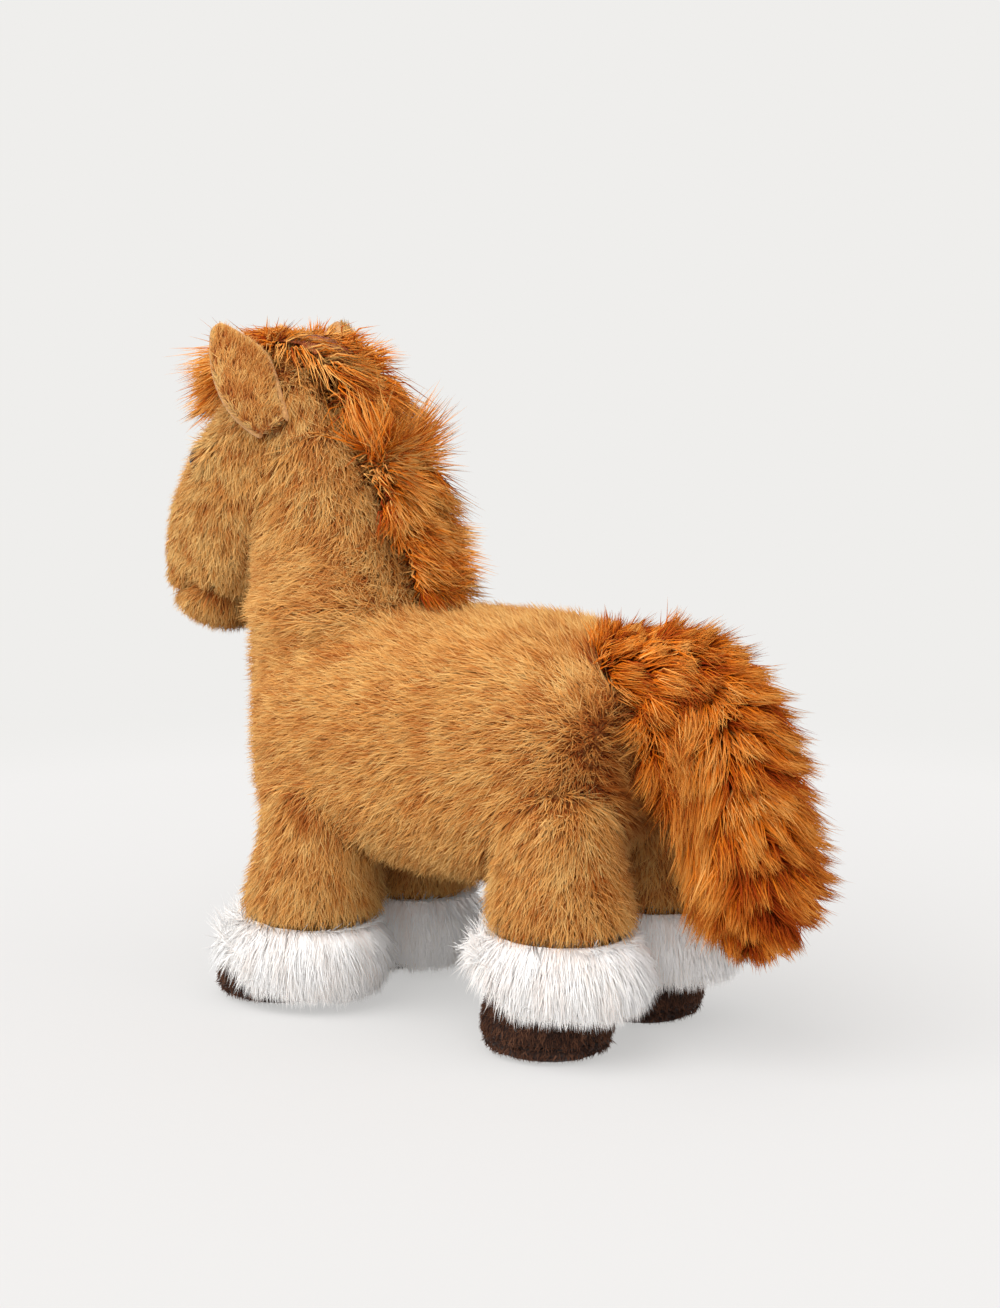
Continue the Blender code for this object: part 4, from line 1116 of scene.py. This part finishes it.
def makeEar(label, seed):
    body = "ear_" + label
    rim = KDTree(rimParts["count"])
    for index, place in enumerate(makeRim(label)):
        rim.insert(place, index)
    rim.balance()
    back, lining = (skinOf(layer + title(label)) for layer in ("earBack", "earLining"))

    def inside(p, band):
        return ease(rim.find(p)[2], *earParts[band])

    def thickAt(p, n):
        return inside(p, "edge")

    # Painted light and shade: the back's pile is painted lighter near the rim and darker towards
    # its cupped middle
    dress(back, lambda p, n: (0.0, 0.25, 1.0), thickAt,
          lambda p, n: 0.40 + 0.75 * inside(p, "inner"),
          shade=lambda p, n: 1.25 - 0.40 * inside(p, "inner"), cover=0.0012)
    growZones("earBackPile" + title(label), back, earParts["pile"], "tan", body, seed)
    finishSkin("earBack" + title(label), body, "tan", ["ear_back_" + label])
    dress(lining, lambda p, n: (0.0, 0.0, 1.0), thickAt, lambda p, n: 0.45, cover=0.0012)
    growZones("earLiningPile" + title(label), lining, earParts["pile"], "ear", body, seed + 5)
    finishSkin("earLining" + title(label), body, "ear", ["ear_lining_" + label])


def stuffEars():
    for label in sides:
        softSkin("earBack" + title(label), ["ear_back_" + label], earParts["cloth"])
        softSkin("earLining" + title(label), ["ear_lining_" + label], earParts["cloth"])


def makeEars():
    for index, label in enumerate(sides):
        makeEar(label, earParts["seed"] + earParts["seedStep"] * index)


# Every skin is stuffed first, because pile grows only where no other skin covers it

for stuff in (stuffBody, stuffNeck, stuffHead, stuffLegs, stuffTail, stuffMane, stuffEars):
    stuff()
print("skins done")
for name, make in (("body", makeBody), ("neck", makeNeck), ("head", makeHead), ("legs", makeLegs),
                   ("tail", makeTail), ("mane", makeMane), ("forelock", makeForelock),
                   ("ears", makeEars)):
    make()
    print(name, "done")


# Fillings, out of sight inside the skins

fillParts = {"grid": 0.0030, "smooth": 3, "out": -0.0012, "hem": 0.0}


def makeFill(name, node, body, cloth=fillParts):
    softSkin(name, [node], cloth)
    finishSkin(name, body, "fibre", [node])


for name in ("body", "neck", "head"):
    makeFill(name + "Fill", name + "_filling", name)
makeFill("tailFill", "tail_filling", "tail", tailParts["fill"])
for place in legs:
    makeFill("legFill" + title(place), "leg_filling_" + place, "leg_" + place)
print("fillings done")


# Eyes

eyeParts = {"inward": 0.0013, "back": 0.0009, "down": 0.0003}  # how far the dome sinks in
eyeFinish = plasticFinish("eyePlastic", 300.0, 3.0, (12, 8, 7), (26, 17, 13), Roughness=0.14,
                          Coat_Weight=0.08, Coat_Roughness=0.05, Specular_IOR_Level=0.22)
washerFinish = plasticFinish("washerPlastic", 200.0, 2.0, (208, 206, 200), (228, 226, 220),
                             Roughness=0.45)
for label, side in sides.items():
    washer = cadNodes["eye_washer_" + label]
    washer.data.materials.clear()
    washer.data.materials.append(washerFinish)
    eye = linkObject("eyeDome" + title(label), meshOf(["eye_" + label]))
    for vert in eye.data.vertices:
        vert.co += Vector((-side * eyeParts["inward"], eyeParts["back"], -eyeParts["down"]))
    rounder = eye.modifiers.new("rounder", "SUBSURF")
    rounder.levels = rounder.render_levels = 1
    settle(eye)
    shadeSmooth(eye.data)
    finishPiece(eye, "head", eyeFinish, ["eye_" + label])
print("eyes done")


# Floor, backdrop and light

stageParts = {"shade": colour(239, 238, 236), "floor": colour(209, 208, 208), "size": 6.0,
              "near": 0.30, "far": 0.75, "bounce": 0.55}


def makeStage():
    # A pale floor that takes the shadow near the horse and runs into the backdrop further out.
    material, tree, shader = newMaterial("paleFloor", Roughness=0.9, Specular_IOR_Level=0.0)
    place = addNode(tree, "ShaderNodeTexCoord").outputs["Object"]
    cloud = addNode(tree, "ShaderNodeTexNoise", {"Vector": place, "Scale": 3.0}).outputs[0]
    cloud = maths(tree, "MULTIPLY", cloud, 0.02)
    tint = mixColour(tree, cloud, stageParts["floor"], stageParts["shade"])
    tree.links.new(tint, shader.inputs["Base Color"])
    fade = ramp(tree, vectorMaths(tree, "LENGTH", place), stageParts["near"], stageParts["far"],
                interpolation_type="SMOOTHSTEP")
    fade = maths(tree, "MAXIMUM", fade, stageParts["bounce"])
    rays = addNode(tree, "ShaderNodeLightPath").outputs
    seen = maths(tree, "MAXIMUM", rays["Is Camera Ray"], rays["Is Glossy Ray"])
    glow = addNode(tree, "ShaderNodeEmission", {"Color": stageParts["shade"], "Strength": 1.0})
    blend = addNode(tree, "ShaderNodeMixShader", {
        0: maths(tree, "MULTIPLY", fade, seen), 1: shader.outputs[0], 2: glow.outputs[0]})
    tree.links.new(blend.outputs[0], tree.nodes["Material Output"].inputs["Surface"])
    half = stageParts["size"] / 2
    mesh = bpy.data.meshes.new("floor")
    mesh.from_pydata([(x * half, y * half, 0.0) for x, y in ((-1, -1), (1, -1), (1, 1), (-1, 1))],
                     [], [(0, 1, 2, 3)])
    mesh.materials.append(material)
    linkObject("floor", mesh)


makeStage()

lightParts = {
    "key": {"from": (-0.75, 1.35, 0.85), "strength": 2.4, "angle": 65.0,
            "tint": (1.0, 0.995, 0.985)},
    "fill": {"from": (1.10, 0.60, 0.90), "strength": 0.8, "angle": 80.0,
             "tint": (1.0, 0.995, 1.0)},
    "side": {"from": (-1.30, 0.35, 0.10), "strength": 0.55, "angle": 80.0,
             "tint": (1.0, 1.0, 1.0)},
}
worldParts = {"strength": 0.72, "tint": (1.0, 0.99, 0.985, 1.0)}


def sunLight(name, light):
    lamp = bpy.data.lights.new(name, "SUN")
    lamp.energy = light["strength"]
    lamp.angle = math.radians(light["angle"])
    lamp.color = light["tint"]
    holder = linkObject(name, lamp)
    right, up, back = light["from"]
    flat = Vector((towardsCamera.x, towardsCamera.y, 0.0)).normalized()
    across = Vector((-flat.y, flat.x, 0.0))
    holder.location = across * right + flat * back + Vector((0.0, 0.0, up))
    holder.rotation_euler = holder.location.to_track_quat("Z", "Y").to_euler()


for name, light in lightParts.items():
    sunLight(name, light)


def makeWorld():
    world = bpy.data.worlds.new("studio")
    scene.world = world
    world.use_nodes = True
    tree = world.node_tree
    backdrop = tree.nodes["Background"]
    rays = addNode(tree, "ShaderNodeLightPath").outputs
    seen = maths(tree, "MAXIMUM", rays["Is Camera Ray"], rays["Is Glossy Ray"])
    seen = maths(tree, "MAXIMUM", seen, rays["Is Transmission Ray"])
    tint = mixColour(tree, seen, worldParts["tint"], stageParts["shade"])
    tree.links.new(tint, backdrop.inputs["Color"])
    level = worldParts["strength"]
    tree.links.new(maths(tree, "MULTIPLY_ADD", seen, 1.0 - level, level),
                   backdrop.inputs["Strength"])


makeWorld()
print("stage and light done")
